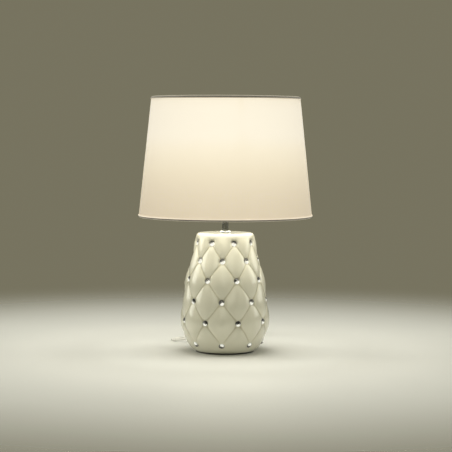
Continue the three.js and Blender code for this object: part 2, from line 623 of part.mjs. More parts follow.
function plugParts() {
  const [x, y, z] = PLUG_TAIL_TIP;
  const length = PLUG_TAPER + PLUG_BODY;
  const halfWidth = PLUG_WIDTH / 2;
  const plan = [
    [3.6, 0], [5.2, 14], [9, PLUG_TAPER], [12.5, PLUG_TAPER + 7], [halfWidth - 1.5, length - 5],
    [halfWidth, length - 3], [halfWidth, length],
  ];
  const halfThick = PLUG_THICKNESS / 2;
  const flank = [
    [2.7, 0], [3.9, 14], [5.4, PLUG_TAPER], [halfThick, PLUG_TAPER + 8], [halfThick, length],
  ];
  const both = (half) => [...half.map(([w, d]) => [w, -d]),
    ...half.map(([w, d]) => [-w, -d]).reverse()].reverse();
  const flat = prism(both(plan), PLUG_THICKNESS + 2).translate(0, 0, -halfThick - 1);
  const upright = prism(both(flank), PLUG_WIDTH + 2)
    .translate(0, 0, -halfWidth - 1).rotateY(Math.PI / 2);
  add('plug_body', shared(flat, upright).translate(x, y, z), 'lead');
  [-1, 1].forEach((sign, i) => {
    const pin = turnedSolid([
      [0, 0], [PIN_RADIUS, 0], [PIN_RADIUS, PIN_LENGTH - 1.4], [1.2, PIN_LENGTH], [0, PIN_LENGTH],
    ], 16).rotateX(Math.PI / 2);
    pin.translate(x + (sign * PIN_SPACING) / 2, y - length - GAP, z);
    add(`plug_pin_${i + 1}`, pin, 'chrome');
  });
}

baseParts();
holderParts();
bulbParts();
shadeParts();
leadParts();
switchParts();
plugParts();

export default lamp;
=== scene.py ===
import json
import math

import bmesh
import bpy
import numpy as np
from mathutils import Matrix, Vector, noise


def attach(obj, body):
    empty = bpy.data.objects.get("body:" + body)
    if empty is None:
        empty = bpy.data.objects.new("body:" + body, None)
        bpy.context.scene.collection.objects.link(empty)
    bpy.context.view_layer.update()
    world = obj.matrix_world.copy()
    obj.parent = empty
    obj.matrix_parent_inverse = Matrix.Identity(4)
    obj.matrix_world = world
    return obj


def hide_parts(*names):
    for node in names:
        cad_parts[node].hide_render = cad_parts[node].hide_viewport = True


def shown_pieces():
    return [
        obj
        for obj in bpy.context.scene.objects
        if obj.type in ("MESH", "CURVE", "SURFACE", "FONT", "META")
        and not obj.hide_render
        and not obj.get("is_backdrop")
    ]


# Table lamp: quilted glazed base with set crystals, lit tapered fabric shade on a drop spider,
# flat lead with an inline switch and a plug. Metres, +Z up, the front faces -Y.
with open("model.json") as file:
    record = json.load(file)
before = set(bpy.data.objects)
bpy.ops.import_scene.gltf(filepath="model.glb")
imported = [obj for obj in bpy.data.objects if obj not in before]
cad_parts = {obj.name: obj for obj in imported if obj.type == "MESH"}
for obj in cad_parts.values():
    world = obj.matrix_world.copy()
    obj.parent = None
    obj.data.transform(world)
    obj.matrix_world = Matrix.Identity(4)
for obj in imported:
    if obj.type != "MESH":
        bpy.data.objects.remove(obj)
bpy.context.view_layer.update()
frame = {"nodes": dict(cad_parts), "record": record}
nodes = frame["nodes"]
MM = 0.001
TURN = 2 * math.pi
TO_METRES = Matrix.Scale(MM, 4)
UP = Vector((0, 0, 1))

# ---- camera ----
CAMERA_AT = Vector((0.0, -2.5, 0.358))
CAMERA_AIM = Vector((0.0011, 0.0, 0.2025))
CAMERA_ROLL = 0.25  # degrees
CAMERA_LENS = 123.8


def linked(name, data):
    """A new object in the scene."""
    made = bpy.data.objects.new(name, data)
    bpy.context.scene.collection.objects.link(made)
    return made


def aimed(name, data, at, aim):
    """A camera or light that looks from one place to another."""
    made = linked(name, data)
    made.location = at
    made.rotation_mode = "QUATERNION"
    made.rotation_quaternion = (Vector(aim) - Vector(at)).to_track_quat("-Z", "Y")
    return made


def make_camera():
    data = bpy.data.cameras.new("camera")
    data.lens = CAMERA_LENS
    camera = aimed("camera", data, CAMERA_AT, CAMERA_AIM)
    camera.rotation_quaternion @= Matrix.Rotation(math.radians(CAMERA_ROLL), 3, "Z").to_quaternion()
    bpy.context.scene.camera = camera


make_camera()


# ---- node helpers ----
class Finish:
    """A Principled material, with short calls for the nodes that give its surface detail."""

    def __init__(self, name, color, roughness, metallic=0.0, **sockets):
        self.material = bpy.data.materials.new(name)
        self.material.use_nodes = True
        self.tree = self.material.node_tree
        self.shader = self.tree.nodes["Principled BSDF"]
        self.color = color
        self.set("Base Color", (*color, 1.0))
        self.set("Roughness", roughness)
        self.set("Metallic", metallic)
        for socket, value in sockets.items():
            self.set(socket.replace("_", " "), value)
        self.place = self.node("ShaderNodeTexCoord").outputs["Object"]

    def set(self, socket, value):
        self.shader.inputs[socket].default_value = value

    def node(self, kind, **settings):
        made = self.tree.nodes.new(kind)
        for key, value in settings.items():
            setattr(made, key, value)
        return made

    def link(self, source, target):
        self.tree.links.new(source, target)

    def math(self, operation, *values):
        made = self.node("ShaderNodeMath", operation=operation)
        for socket, value in zip(made.inputs, values):
            if isinstance(value, (int, float)):
                socket.default_value = value
            else:
                self.link(value, socket)
        return made.outputs[0]

    def axes(self):
        split = self.node("ShaderNodeSeparateXYZ")
        self.link(self.place, split.inputs[0])
        return split.outputs

    def stretched(self, scale):
        made = self.node("ShaderNodeVectorMath", operation="MULTIPLY")
        self.link(self.place, made.inputs[0])
        made.inputs[1].default_value = scale
        return made.outputs[0]

    def noise(self, scale, detail=3.0, vector=None):
        made = self.node("ShaderNodeTexNoise")
        self.link(vector or self.place, made.inputs["Vector"])
        made.inputs["Scale"].default_value = scale
        made.inputs["Detail"].default_value = detail
        return made.outputs["Fac"]

    def ramp(self, factor, stops):
        made = self.node("ShaderNodeValToRGB")
        self.link(factor, made.inputs["Fac"])
        band = made.color_ramp
        while len(band.elements) < len(stops):
            band.elements.new(0.5)
        for element, (position, color) in zip(band.elements, stops):
            element.position = position
            element.color = (*color, 1.0)
        return made.outputs["Color"]

    def tinted(self, factor, darker, lighter=None):
        """The base colour runs between two tones as the factor goes from 0.3 to 0.7."""
        colour = self.ramp(factor, [(0.3, darker), (0.7, lighter or self.color)])
        self.link(colour, self.shader.inputs["Base Color"])
        return self

    def multiplied(self, tone, mottle, share):
        """The base colour is a tone with a mottle laid over it."""
        blend = self.node("ShaderNodeMix", data_type="RGBA", blend_type="MULTIPLY")
        blend.inputs["Factor"].default_value = share
        self.link(tone, blend.inputs["A"])
        self.link(mottle, blend.inputs["B"])
        self.link(blend.outputs["Result"], self.shader.inputs["Base Color"])

    def glowing(self, factor, stops, strength=1.0):
        self.link(self.ramp(factor, stops), self.shader.inputs["Emission Color"])
        self.set("Emission Strength", strength)
        self.material.cycles.emission_sampling = "NONE"

    def varied(self, socket, factor, low, high):
        made = self.node("ShaderNodeMapRange")
        self.link(factor, made.inputs["Value"])
        for key, value in (("From Min", 0.3), ("From Max", 0.7), ("To Min", low), ("To Max", high)):
            made.inputs[key].default_value = value
        self.link(made.outputs["Result"], self.shader.inputs[socket])
        return self

    def bumped(self, factor, height, strength=1.0):
        """Height in metres between a factor of 0 and of 1."""
        made = self.node("ShaderNodeBump")
        made.inputs["Strength"].default_value = strength
        made.inputs["Distance"].default_value = height
        self.link(factor, made.inputs["Height"])
        self.link(made.outputs["Normal"], self.shader.inputs["Normal"])
        return self


def darker(color, share):
    return tuple(c * share for c in color)


# ---- mesh helpers ----
def new_mesh(name, points, faces, outward=False):
    """A mesh from points and faces; outward turns every face to the outside."""
    mesh = bpy.data.meshes.new(name)
    mesh.from_pydata([tuple(p) for p in points], [], faces)
    if outward:
        bm = bmesh.new()
        bm.from_mesh(mesh)
        bmesh.ops.recalc_face_normals(bm, faces=bm.faces)
        bm.to_mesh(mesh)
        bm.free()
    return mesh


def shaded(mesh, sharp):
    """Smooth but for edges sharper than the angle."""
    mesh.shade_smooth()
    if sharp:
        mesh.set_sharp_from_angle(angle=math.radians(sharp))


def piece(name, mesh, body, slot, replaced=(), sharp=35):
    """A new piece that rides on a body, in its slot's finish, in place of the CAD nodes named."""
    shaded(mesh, sharp)
    mesh.materials.append(FINISHES[slot])
    made = linked(name, mesh)
    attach(made, body)
    if replaced:
        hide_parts(*replaced)
    return made


def grid_faces(columns, rows, closed_columns=True, closed_rows=True):
    """Quads of a grid whose point number is column * rows + row."""
    faces = []
    for i in range(columns if closed_columns else columns - 1):
        a, b = i * rows, ((i + 1) % columns) * rows
        for j in range(rows if closed_rows else rows - 1):
            k = (j + 1) % rows
            faces.append((a + j, b + j, b + k, a + k))
    return faces


def polar(radius, angle):
    return radius * math.cos(angle), radius * math.sin(angle)


def lathe(name, profile, body, slot, replaced=(), columns=96, shift=None, place=TO_METRES, sharp=35,
          closed=True):
    """Turns a profile of (radius, height) points in mm, listed anticlockwise, about the vertical.

    shift(angle, radius, height) gives a small change of radius; place is a matrix for the piece.
    An open profile starts and ends on the axis."""
    points = []
    for i in range(columns):
        angle = TURN * i / columns
        for r, z in profile:
            out = r + (shift(angle, r, z) if shift and r > 0 else 0)
            points.append(place @ Vector((*polar(out, angle), z)))
    mesh = new_mesh(name, points, grid_faces(columns, len(profile), True, closed))
    if not closed:
        bm = bmesh.new()
        bm.from_mesh(mesh)
        bmesh.ops.remove_doubles(bm, verts=bm.verts, dist=1e-7)
        bm.to_mesh(mesh)
        bm.free()
    return piece(name, mesh, body, slot, replaced, sharp)


def catmull(points, per_span):
    """Points of a smooth curve through the given ones."""
    p = np.array(points, float)
    p = np.vstack([2 * p[0] - p[1], p, 2 * p[-1] - p[-2]])
    out = []
    for i in range(1, len(p) - 2):
        # centripetal form, which stays smooth where the spacing changes
        gaps = np.linalg.norm(np.diff(p[i - 1:i + 3], axis=0), axis=1)
        t = np.concatenate([[0], np.cumsum(gaps ** 0.5)])
        for u in np.linspace(t[1], t[2], per_span, endpoint=False):
            a = [((t[k + 1] - u) * p[i - 1 + k] + (u - t[k]) * p[i + k]) / (t[k + 1] - t[k])
                 for k in range(3)]
            b = [((t[k + 2] - u) * a[k] + (u - t[k]) * a[k + 1]) / (t[k + 2] - t[k]) for k in range(2)]
            out.append(((t[2] - u) * b[0] + (u - t[1]) * b[1]) / (t[2] - t[1]))
    out.append(p[-2])
    return np.array(out)


def spaced(line, step):
    along = np.concatenate([[0], np.cumsum(np.linalg.norm(np.diff(line, axis=0), axis=1))])
    at = np.linspace(0, along[-1], max(2, round(along[-1] / step) + 1))
    return np.stack([np.interp(at, along, line[:, k]) for k in range(3)], axis=1)


def end_caps(rows, count):
    """The two end faces of a grid of rows of points."""
    return [tuple(range(count)), tuple(range((rows - 1) * count, rows * count))[::-1]]


def tube(name, line, section, body, slot, replaced=()):
    """Sweeps a section of (across, up) points along a line, keeping its up side upwards, with
    closed ends. A line that runs straight up needs a section that is round."""
    line = np.asarray(line)
    tangents = np.gradient(line, axis=0)
    points = []
    side = None
    for centre, tangent in zip(line, tangents):
        t = Vector(tangent).normalized()
        level = t.cross(UP)
        side = level.normalized() if level.length > 0.02 else (side - side.dot(t) * t).normalized()
        up = side.cross(t)
        points += [Vector(centre) + side * x + up * y for x, y in section]
    faces = [f[::-1] for f in grid_faces(len(line), len(section), False)]
    faces += end_caps(len(line), len(section))
    return piece(name, new_mesh(name, points, faces, True), body, slot, replaced, 0)


def circle(radius, sides=16):
    return [polar(radius, TURN * i / sides) for i in range(sides)]


def racetrack(width, height, per_end=6):
    """Flat two-core flex: two half circles joined by flats."""
    r = height / 2
    half = (width - height) / 2
    end = [polar(r, a) for a in np.linspace(-math.pi / 2, math.pi / 2, per_end)]
    right = [(half + x, y) for x, y in end]
    return right + [(-x, -y) for x, y in right]


def loft(name, sections, place=TO_METRES):
    """A closed solid through a row of loops that have the same number of points, in mm."""
    count = len(sections[0])
    points = [place @ Vector(p) for section in sections for p in section]
    faces = grid_faces(len(sections), count, False) + end_caps(len(sections), count)
    return new_mesh(name, points, faces, True)


# ---- finishes ----
def glaze_finish():
    """Thick glossy cream glaze: darker in the creases, partly glaze pooling and partly painted shade,
    and paler at random away from them, with fine specks and the slight waviness of a dipped piece."""
    cream = (0.785, 0.762, 0.625)
    f = Finish("glaze", cream, 0.16, Specular_IOR_Level=0.55, Coat_Weight=0.35, Coat_Roughness=0.07)
    # painted shade: the crease mask darkens the glaze there, partly for glaze pooling and partly as shade
    crease_pool_and_shade = f.node("ShaderNodeAttribute", attribute_name="crease").outputs["Fac"]
    depth = f.math("ADD", crease_pool_and_shade, f.math("MULTIPLY", f.math("SUBTRACT", f.noise(55, 4), 0.5), 0.25))
    tone = f.ramp(depth, [(0.0, (0.81, 0.79, 0.665)), (0.3, cream), (1.0, (0.59, 0.555, 0.415))])
    specks = f.ramp(f.noise(1500, 2), [(0.0, (0.80, 0.74, 0.60)), (0.34, (0.9, 0.88, 0.82)),
                                      (0.40, (1, 1, 1))])
    f.multiplied(tone, specks, 0.5)
    f.varied("Roughness", f.noise(160, 3), 0.12, 0.24)
    return f.bumped(f.noise(95, 3), 0.00025, 0.6).material


def metal_finish(name, color, roughness, grain, wear):
    """Plated or bare metal: its roughness is uneven, with fine scratches."""
    f = Finish(name, color, roughness, 1.0)
    scratches = f.noise(260, 5, f.stretched((1.0, 1.0, 9.0)))
    f.varied("Roughness", scratches, roughness * (1 - grain), roughness * (1 + grain) + 0.01)
    f.tinted(f.noise(120, 4), darker(color, 1 - wear))
    return f.bumped(scratches, 0.00003, 0.5).material


def plastic_finish(name, color, roughness, texture=0.00003, coat=0.0):
    """Moulded plastic: a fine spark-eroded texture and faint clouding of the colour."""
    f = Finish(name, color, roughness, Coat_Weight=coat, Coat_Roughness=0.15, Specular_IOR_Level=0.45)
    f.tinted(f.noise(25, 3), darker(color, 0.95))
    f.varied("Roughness", f.noise(220, 3), roughness * 0.9, roughness * 1.15)
    return f.bumped(f.noise(900, 2), texture, 0.5).material


def weave(f, pitch):
    """0 to 1 across plain-woven threads that run round the axis and up the cone."""
    x, y, z = f.axes()
    angle = f.math("ARCTAN2", y, x)
    uneven = f.math("MULTIPLY", f.noise(90, 3), 1.2)
    warp = f.math("SINE", f.math("MULTIPLY", angle, TURN * 0.13 / pitch))
    weft = f.math("SINE", f.math("ADD", f.math("MULTIPLY", z, TURN / pitch), uneven))
    return angle, z, f.math("MULTIPLY_ADD", f.math("MULTIPLY", warp, weft), 0.5, 0.5)


SHADE_BOTTOM = 217.0
SHADE_TOP = 410.4
HEM = 4.2
SHADE_GLOW = 1.0
THREAD = 0.0009
BULB_Z = 0.338
GLOW_Z = 0.37  # the brightest height on the shade, level with the top of the bulb
ARM_ANGLES = (11.5, 131.5, 251.5)  # degrees to the right of the front


def shade_finish():
    """Off-white cotton on a translucent backing, with the light from inside painted on as a glow.
    The painted glow falls off with the distance from the bulb, the slubs in the yarn show, and
    each spider arm has a painted soft shadow that widens as the arm leaves the fabric."""
    cotton = (0.80, 0.765, 0.70)
    f = Finish("shade_fabric", cotton, 0.85, Sheen_Weight=0.25, Sheen_Roughness=0.5)
    angle, z, threads = weave(f, THREAD)
    slubs = f.noise(1.0, 3, f.stretched((45, 45, 900)))
    slubs_up = f.noise(1.0, 3, f.stretched((700, 700, 35)))
    yarn = f.math("ADD", f.math("MULTIPLY", slubs, 0.5), f.math("MULTIPLY", slubs_up, 0.5))
    f.tinted(yarn, darker(cotton, 0.90))
    height = f.math("MULTIPLY", f.math("SUBTRACT", z, GLOW_Z), 1 / 0.13)
    near = f.math("POWER", f.math("MULTIPLY_ADD", height, height, 1.0), -1.5)
    # painted arm shadows repeat every third of a turn
    front = f.math("MULTIPLY_ADD", angle, 180 / math.pi, 90 - ARM_ANGLES[0] + 60 + 360)
    offset = f.math("SUBTRACT", f.math("FLOORED_MODULO", front, 120.0), 60.0)
    away = f.math("MULTIPLY", offset, 0.122 * math.pi / 180)
    drop = f.math("SUBTRACT", SHADE_TOP * MM, z)
    width = f.math("MULTIPLY_ADD", drop, 0.10, 0.0024)
    spread = f.math("POWER", f.math("DIVIDE", away, width), 2.0)
    fade = f.math("DIVIDE", 0.00035, width)
    painted_arm_shadow = f.math("MULTIPLY", f.math("EXPONENT", f.math("MULTIPLY", spread, -1.0)), fade)
    glow = f.math("MULTIPLY", near, f.math("SUBTRACT", 1.0, painted_arm_shadow))
    glow = f.math("MULTIPLY", glow, f.math("MULTIPLY_ADD", yarn, 0.14, 0.93))
    glow = f.math("MULTIPLY", glow, f.math("MULTIPLY_ADD", threads, 0.03, 0.985))
    # painted glow: emission in the cotton stands in for the bulb's light passing through it
    f.glowing(glow, [(0.30, (0.46, 0.37, 0.255)), (0.62, (0.62, 0.53, 0.38)),
                     (0.85, (0.72, 0.635, 0.485)), (0.96, (0.75, 0.682, 0.558))], SHADE_GLOW)
    return f.bumped(threads, 0.00008, 0.5).material


def backing_finish():
    """The smooth translucent sheet that the cotton is laminated to, seen inside the shade."""
    white = (0.62, 0.60, 0.545)
    f = Finish("shade_backing", white, 0.42, Specular_IOR_Level=0.4)
    f.tinted(f.noise(1.0, 3, f.stretched((60, 60, 500))), darker(white, 0.93))
    f.varied("Roughness", f.noise(40, 3), 0.36, 0.5)
    return f.bumped(f.noise(30, 3), 0.0004, 0.4).material


def hem_finish():
    """The same cotton turned over the wire: the band over the wire is painted dark as shade, the
    outermost roll has a faint painted highlight and at the bottom the fold's free edge a painted glow."""
    cotton = (0.66, 0.60, 0.52)
    f = Finish("shade_hem", cotton, 0.9, Sheen_Weight=0.25, Sheen_Roughness=0.5)
    _, z, threads = weave(f, THREAD)
    low = f.math("LESS_THAN", z, 0.3)
    from_top = f.math("SUBTRACT", SHADE_TOP * MM, z)
    from_edge = f.math("MINIMUM", from_top, f.math("SUBTRACT", z, SHADE_BOTTOM * MM))
    band = f.math("MULTIPLY", from_edge, 1 / (HEM * MM))
    # painted shade: a dark band in the colour where the wire blocks the light
    tone = f.ramp(band, [(0.0, cotton), (0.2, darker(cotton, 0.8)), (0.34, darker(cotton, 0.3)),
                         (0.52, darker(cotton, 0.3)), (0.68, cotton)])
    mottle = f.ramp(f.noise(220, 4), [(0.3, (0.82, 0.82, 0.82)), (0.7, (1, 1, 1))])
    f.multiplied(tone, mottle, 1.0)
    # painted light: a faint highlight on the outermost roll and a glow on the fold's free edge, strongest on
    # the bottom hem
    f.glowing(band, [(0.0, (0.10, 0.085, 0.06)), (0.30, (0.0, 0.0, 0.0)), (0.55, (0.0, 0.0, 0.0)),
                     (0.72, (0.62, 0.54, 0.42))])
    power = f.math("MULTIPLY_ADD", low, 0.9 * SHADE_GLOW, 0.1 * SHADE_GLOW)
    f.link(power, f.shader.inputs["Emission Strength"])
    return f.bumped(threads, 0.00012, 0.6).material


def opal_finish():
    """Lit opal glass, hottest round its middle."""
    f = Finish("opal_glass", (0.92, 0.90, 0.84), 0.18, Coat_Weight=0.3)
    height = f.math("MULTIPLY", f.math("SUBTRACT", f.axes()[2], 0.295), 20.0)
    cloud = f.math("MULTIPLY_ADD", f.noise(45, 3), 0.1, height)
    colour = f.ramp(cloud, [(0.0, (0.35, 0.24, 0.13)), (0.7, (1.0, 0.93, 0.74)), (1.0, (1.0, 0.96, 0.80))])
    f.link(colour, f.shader.inputs["Emission Color"])
    f.set("Emission Strength", BULB_GLOW)
    return f.material


def crystal_finish():
    """Foil-backed cut glass with slightly uneven polish, in a cup of plated metal: the facets carry
    painted reflections, bright facets next to dark ones, and the brightest have a painted glint."""
    f = Finish("crystal", (0.86, 0.87, 0.885), 0.035, 0.2, Coat_Weight=1.0, Coat_Roughness=0.02)
    tone = f.node("ShaderNodeAttribute", attribute_name="facet").outputs["Fac"]
    cloud = f.math("MULTIPLY_ADD", f.noise(420, 2), 0.12, f.math("SUBTRACT", tone, 0.06))
    colour = f.ramp(cloud, [(0.0, (0.012, 0.012, 0.012)), (0.38, (0.06, 0.06, 0.058)),
                            (0.6, (0.70, 0.70, 0.67)), (1.0, (0.97, 0.97, 0.95))])
    f.link(colour, f.shader.inputs["Base Color"])
    # painted glint: the brightest facets glow, for the light that the foil throws back
    f.glowing(cloud, [(0.62, (0.0, 0.0, 0.0)), (0.9, (0.42, 0.42, 0.40))])
    f.varied("Roughness", f.noise(700, 2), 0.02, 0.09)
    return f.bumped(f.noise(900, 1), 0.00005, 0.4).material


def felt_finish():
    f = Finish("felt", (0.045, 0.042, 0.038), 0.95, Sheen_Weight=0.3, Sheen_Roughness=0.6)
    fibres = f.noise(1400, 5, f.stretched((1.0, 0.45, 1.0)))
    f.tinted(fibres, (0.022, 0.021, 0.02), (0.075, 0.07, 0.064))
    return f.bumped(fibres, 0.0004, 0.8).material


def lead_finish():
    """Soft PVC lead: satin, faintly grubby, with shallow marks from the cable's cores."""
    white = (0.86, 0.85, 0.81)
    f = Finish("lead_pvc", white, 0.38, Specular_IOR_Level=0.45, Coat_Weight=0.15, Coat_Roughness=0.3)
    f.tinted(f.noise(80, 4), darker(white, 0.88))
    f.varied("Roughness", f.noise(300, 3), 0.3, 0.5)
    return f.bumped(f.noise(500, 3), 0.00006, 0.6).material


BULB_GLOW = 7.0
FINISHES = {
    "glazed_ceramic": glaze_finish(),
    "crystal": crystal_finish(),
    "felt": felt_finish(),
    "chrome": metal_finish("chrome", (0.74, 0.76, 0.75), 0.16, 0.4, 0.06),
    "zinc_steel": metal_finish("zinc_steel", (0.56, 0.57, 0.58), 0.34, 0.35, 0.18),
    "nickel": metal_finish("nickel", (0.70, 0.67, 0.61), 0.2, 0.4, 0.10),
    "brass": metal_finish("brass", (0.74, 0.55, 0.27), 0.26, 0.4, 0.2),
    "solder": metal_finish("solder", (0.60, 0.60, 0.60), 0.45, 0.3, 0.25),
    "holder_plastic": plastic_finish("holder_plastic", (0.80, 0.79, 0.75), 0.32, coat=0.2),
    "holder_insert": plastic_finish("holder_insert", (0.76, 0.75, 0.70), 0.25, coat=0.4),
    "core_brown": plastic_finish("core_brown", (0.16, 0.07, 0.03), 0.4),
    "core_blue": plastic_finish("core_blue", (0.05, 0.13, 0.36), 0.4),
    "opal_glass": opal_finish(),
    "black_glass": plastic_finish("black_glass", (0.02, 0.02, 0.024), 0.15, coat=0.6),
    "shade_fabric": shade_finish(),
    "shade_hem": hem_finish(),
    "white_wire": plastic_finish("white_wire", (0.74, 0.73, 0.69), 0.35, texture=0.00006, coat=0.2),
    "lead_pvc": lead_finish(),
    "switch_plastic": plastic_finish("switch_plastic", (0.80, 0.79, 0.745), 0.3, coat=0.15),
    "plug_pvc": plastic_finish("plug_pvc", (0.79, 0.78, 0.73), 0.42, texture=0.00005),
    "tie_plastic": plastic_finish("tie_plastic", (0.70, 0.69, 0.65), 0.45),
}
SLOT_OF = {part["node"]: part["material_slot"] for part in frame["record"]["subparts"]}


def dress_cad_nodes():
    """Gives every CAD node its finish, and smooths its shading without touching its mesh."""
    for name, node in nodes.items():
        node.data.materials.clear()
        node.data.materials.append(FINISHES[SLOT_OF[name]])
        node.data.polygons.foreach_set("use_smooth", [True] * len(node.data.polygons))
        weld = node.modifiers.new("weld", "WELD")
        weld.merge_threshold = 2e-6
        split = node.modifiers.new("crisp", "EDGE_SPLIT")
        split.split_angle = math.radians(32)


dress_cad_nodes()

# ---- lead ----
CORD_WIDTH = 5.4
CORD_HEIGHT = 3.4
EXIT_ANGLE = 115
EXIT_SEAT = 57.5
EXIT_HEIGHT = 14
EXIT_DROP = 8
COIL_CENTRE = (29.3, 206.0)
COIL_RADII = {"in": 28.0, "out": 33.4}
COIL_LOWEST = 2.6
LEAD_TO_SWITCH = [
    (-35.5, 76.2, 10.3), (-38.9, 83.6, 9.2), (-43.2, 90.8, 8.2), (-49.6, 96.8, 7.3),
    (-57.8, 99.9, 6.4), (-66.5, 100.9, 5.4), (-75.2, 103.2, 4.1), (-82.6, 108.2, 2.9),
    (-87.6, 115.6, 2.0), (-89.2, 124.4, 1.8), (-87.0, 133.2, 1.8), (-81.6, 140.4, 1.8),
    (-73.8, 144.6, 1.8), (-65.0, 145.6, 2.0), (-56.0, 144.6, 2.9), (-47.5, 143.4, 4.6),
    (-38.6, 143.0, 6.0),
]
THROUGH_SWITCH = [(-19.0, 143.0, 6.0), (0.0, 143.0, 6.0), (19.0, 143.0, 6.0)]
SWITCH_TO_COIL = [
    (38.6, 143.0, 6.0), (45.5, 143.9, 4.6), (52.3, 147.5, 3.1), (57.7, 153.6, 2.2),
    (61.2, 161.8, 1.9), (62.6, 171.0, 2.1), (62.8, 179.5, 2.5), (62.7, 185.6, 2.6),
    (62.7, 196.0, 2.6),
]
COIL_TO_PLUG = [
    (28.3, 244.9, 11.2), (19.5, 249.8, 9.4), (10.2, 254.0, 7.0), (0.6, 256.8, 4.4),
    (-9.2, 257.4, 2.5), (-18.6, 255.0, 1.8), (-26.6, 249.4, 1.9), (-32.2, 241.6, 2.9),
    (-35.2, 232.6, 5.0), (-36.0, 222.9, 6.7),
]
# each lap of the coil changes column or layer a little earlier than the one below it
COIL_LAPS = [("out", 1), ("in", 1), ("in", 2), ("out", 2), ("out", 3), ("in", 3), ("in", 4), ("out", 4)]
LAP = 320
CROSSING = 40
COIL_END = 2580


def smoothstep(x, low=0.0, high=1.0):
    t = min(max((x - low) / (high - low), 0.0), 1.0)
    return t * t * (3 - 2 * t)


def coil_points():
    points = []
    for turned in range(0, COIL_END + 1, 12):
        lap = min(int(turned // LAP), len(COIL_LAPS) - 1)
        behind = max(lap - 1, 0)
        share = smoothstep(turned - lap * LAP, 0, CROSSING) if lap else 1.0
        (c0, l0), (c1, l1) = COIL_LAPS[behind], COIL_LAPS[lap]
        radius = COIL_RADII[c0] + (COIL_RADII[c1] - COIL_RADII[c0]) * share
        height = COIL_LOWEST + CORD_HEIGHT * (l0 + (l1 - l0) * share - 1)
        wander = noise.noise(Vector((turned / 55.0, 3.1, 7.7)))
        lift = abs(noise.noise(Vector((turned / 70.0, 9.3, 1.9))))
        radius += 0.22 * wander
        height += 0.12 * lift
        x, y = polar(radius, math.radians(turned))
        points.append((COIL_CENTRE[0] + x, COIL_CENTRE[1] + y, height))
    return points


def make_lead():
    route = LEAD_TO_SWITCH + THROUGH_SWITCH + SWITCH_TO_COIL + coil_points() + COIL_TO_PLUG
    line = spaced(catmull(np.array(route) * MM, 8), 0.002)
    section = racetrack(CORD_WIDTH * MM, CORD_HEIGHT * MM)
    lead = tube("flat_lead", line, section, "base", "lead_pvc",
                ("cord_lead", "cord_link", "cord_tail", "cord_coil"))
    return lead, line


lead, lead_line = make_lead()

# ---- ceramic base ----
SKIN = [
    (2.3, 49.5), (8, 55.5), (16, 60.8), (27, 66.9), (40, 71.0), (56, 72.0), (75, 70.4),
    (95, 67.6), (115, 64.9), (135, 60.0), (152, 54.9), (167, 51.6), (180, 48.9), (186, 47.2),
]
ROW_HEIGHTS = [177, 149, 118.5, 85, 52, 16]
EVEN_ROW_ANGLE = -4.7
COLUMN = 22.5  # degrees between a row's crystals and the next row's
QUILT_DEPTH = 4.3
WALL = 8
COLUMNS = 384
ROWS_PER_CELL = 24


def smooth_at(table, height):
    """Cubic through (height, value) pairs, with the slopes of their neighbours."""
    last = len(table) - 1

    def slope(i):
        a, b = table[max(i - 1, 0)], table[min(i + 1, last)]
        return (b[1] - a[1]) / (b[0] - a[0])

    z = min(max(height, table[0][0]), table[last][0])
    i = min(max(k for k in range(last + 1) if table[k][0] <= z), last - 1)
    (z0, r0), (z1, r1) = table[i], table[i + 1]
    span = z1 - z0
    t = (z - z0) / span
    a = 2 * r0 - 2 * r1 + span * (slope(i) + slope(i + 1))
    b = -3 * r0 + 3 * r1 - span * (2 * slope(i) + slope(i + 1))
    return ((a * t + b) * t + span * slope(i)) * t + r0


def row_at(height):
    """1 at the top row of crystals, 6 at the bottom row."""
    found = [i for i, z in enumerate(ROW_HEIGHTS) if z <= height]
    i = min(max(found[0] if found else len(ROW_HEIGHTS) - 1, 1), len(ROW_HEIGHTS) - 1)
    return i + (ROW_HEIGHTS[i - 1] - height) / (ROW_HEIGHTS[i - 1] - ROW_HEIGHTS[i])


def height_at(row):
    i = min(max(int(math.floor(row)), 1), len(ROW_HEIGHTS) - 1)
    return ROW_HEIGHTS[i - 1] + (row - i) * (ROW_HEIGHTS[i] - ROW_HEIGHTS[i - 1])


def quilt_height(column, row):
    """1 on the crest of a cushion, 0 at a crystal. column is in half pitches."""
    a = (column + row) * math.pi / 2
    b = (column - row) * math.pi / 2
    cushion = (abs(math.sin(a) * math.sin(b)) + 0.0009) ** 0.66
    dimple = 1 - abs(math.cos(a) * math.cos(b)) ** 6
    return 1 - (1 - (0.72 * cushion + 0.28 * dimple)) * quilted(row)


def quilted(row):
    """The quilting fades out above the top row of crystals and towards the bottom row."""
    return smoothstep(row, 0.6, 1) * (1 - smoothstep(row, 5.5, 6.2))


def crease_at(column, row):
    """1 in the bottom of a crease, 0 from a couple of millimetres away."""
    a = (column + row) * math.pi / 2
    b = (column - row) * math.pi / 2
    return (1 - smoothstep(abs(math.sin(a) * math.sin(b)), 0.0, 0.13)) * quilted(row)


def to_crystal(column, z):
    """How far a point of the skin is from the nearest crystal, in mm, and that crystal's row."""
    row = min(6, max(1, round(row_at(z))))
    nearest = 2 * round((column - row) / 2) + row
    across = math.radians((column - nearest) * COLUMN) * smooth_at(SKIN, z)
    return math.hypot(across, z - ROW_HEIGHTS[row - 1]), row


def valley_faces(columns, rows, depth):
    """The grid's faces as triangles that fold along the bottom of each crease."""
    faces = []
    for a, b, c, d in grid_faces(columns, rows):
        if depth[a] + depth[c] >= depth[b] + depth[d]:
            faces += [(a, b, c), (a, c, d)]
        else:
            faces += [(a, b, d), (b, c, d)]
    return faces


def exit_axis():
    """The frame of the lead's exit: its origin is the hole's seat and +Z points out."""
    a = math.radians(EXIT_ANGLE)
    at = Vector((EXIT_SEAT * math.cos(a), EXIT_SEAT * math.sin(a), EXIT_HEIGHT)) * MM
    turn = Matrix.Rotation(a, 4, "Z") @ Matrix.Rotation(math.radians(90 + EXIT_DROP), 4, "Y")
    return Matrix.Translation(at) @ turn @ TO_METRES


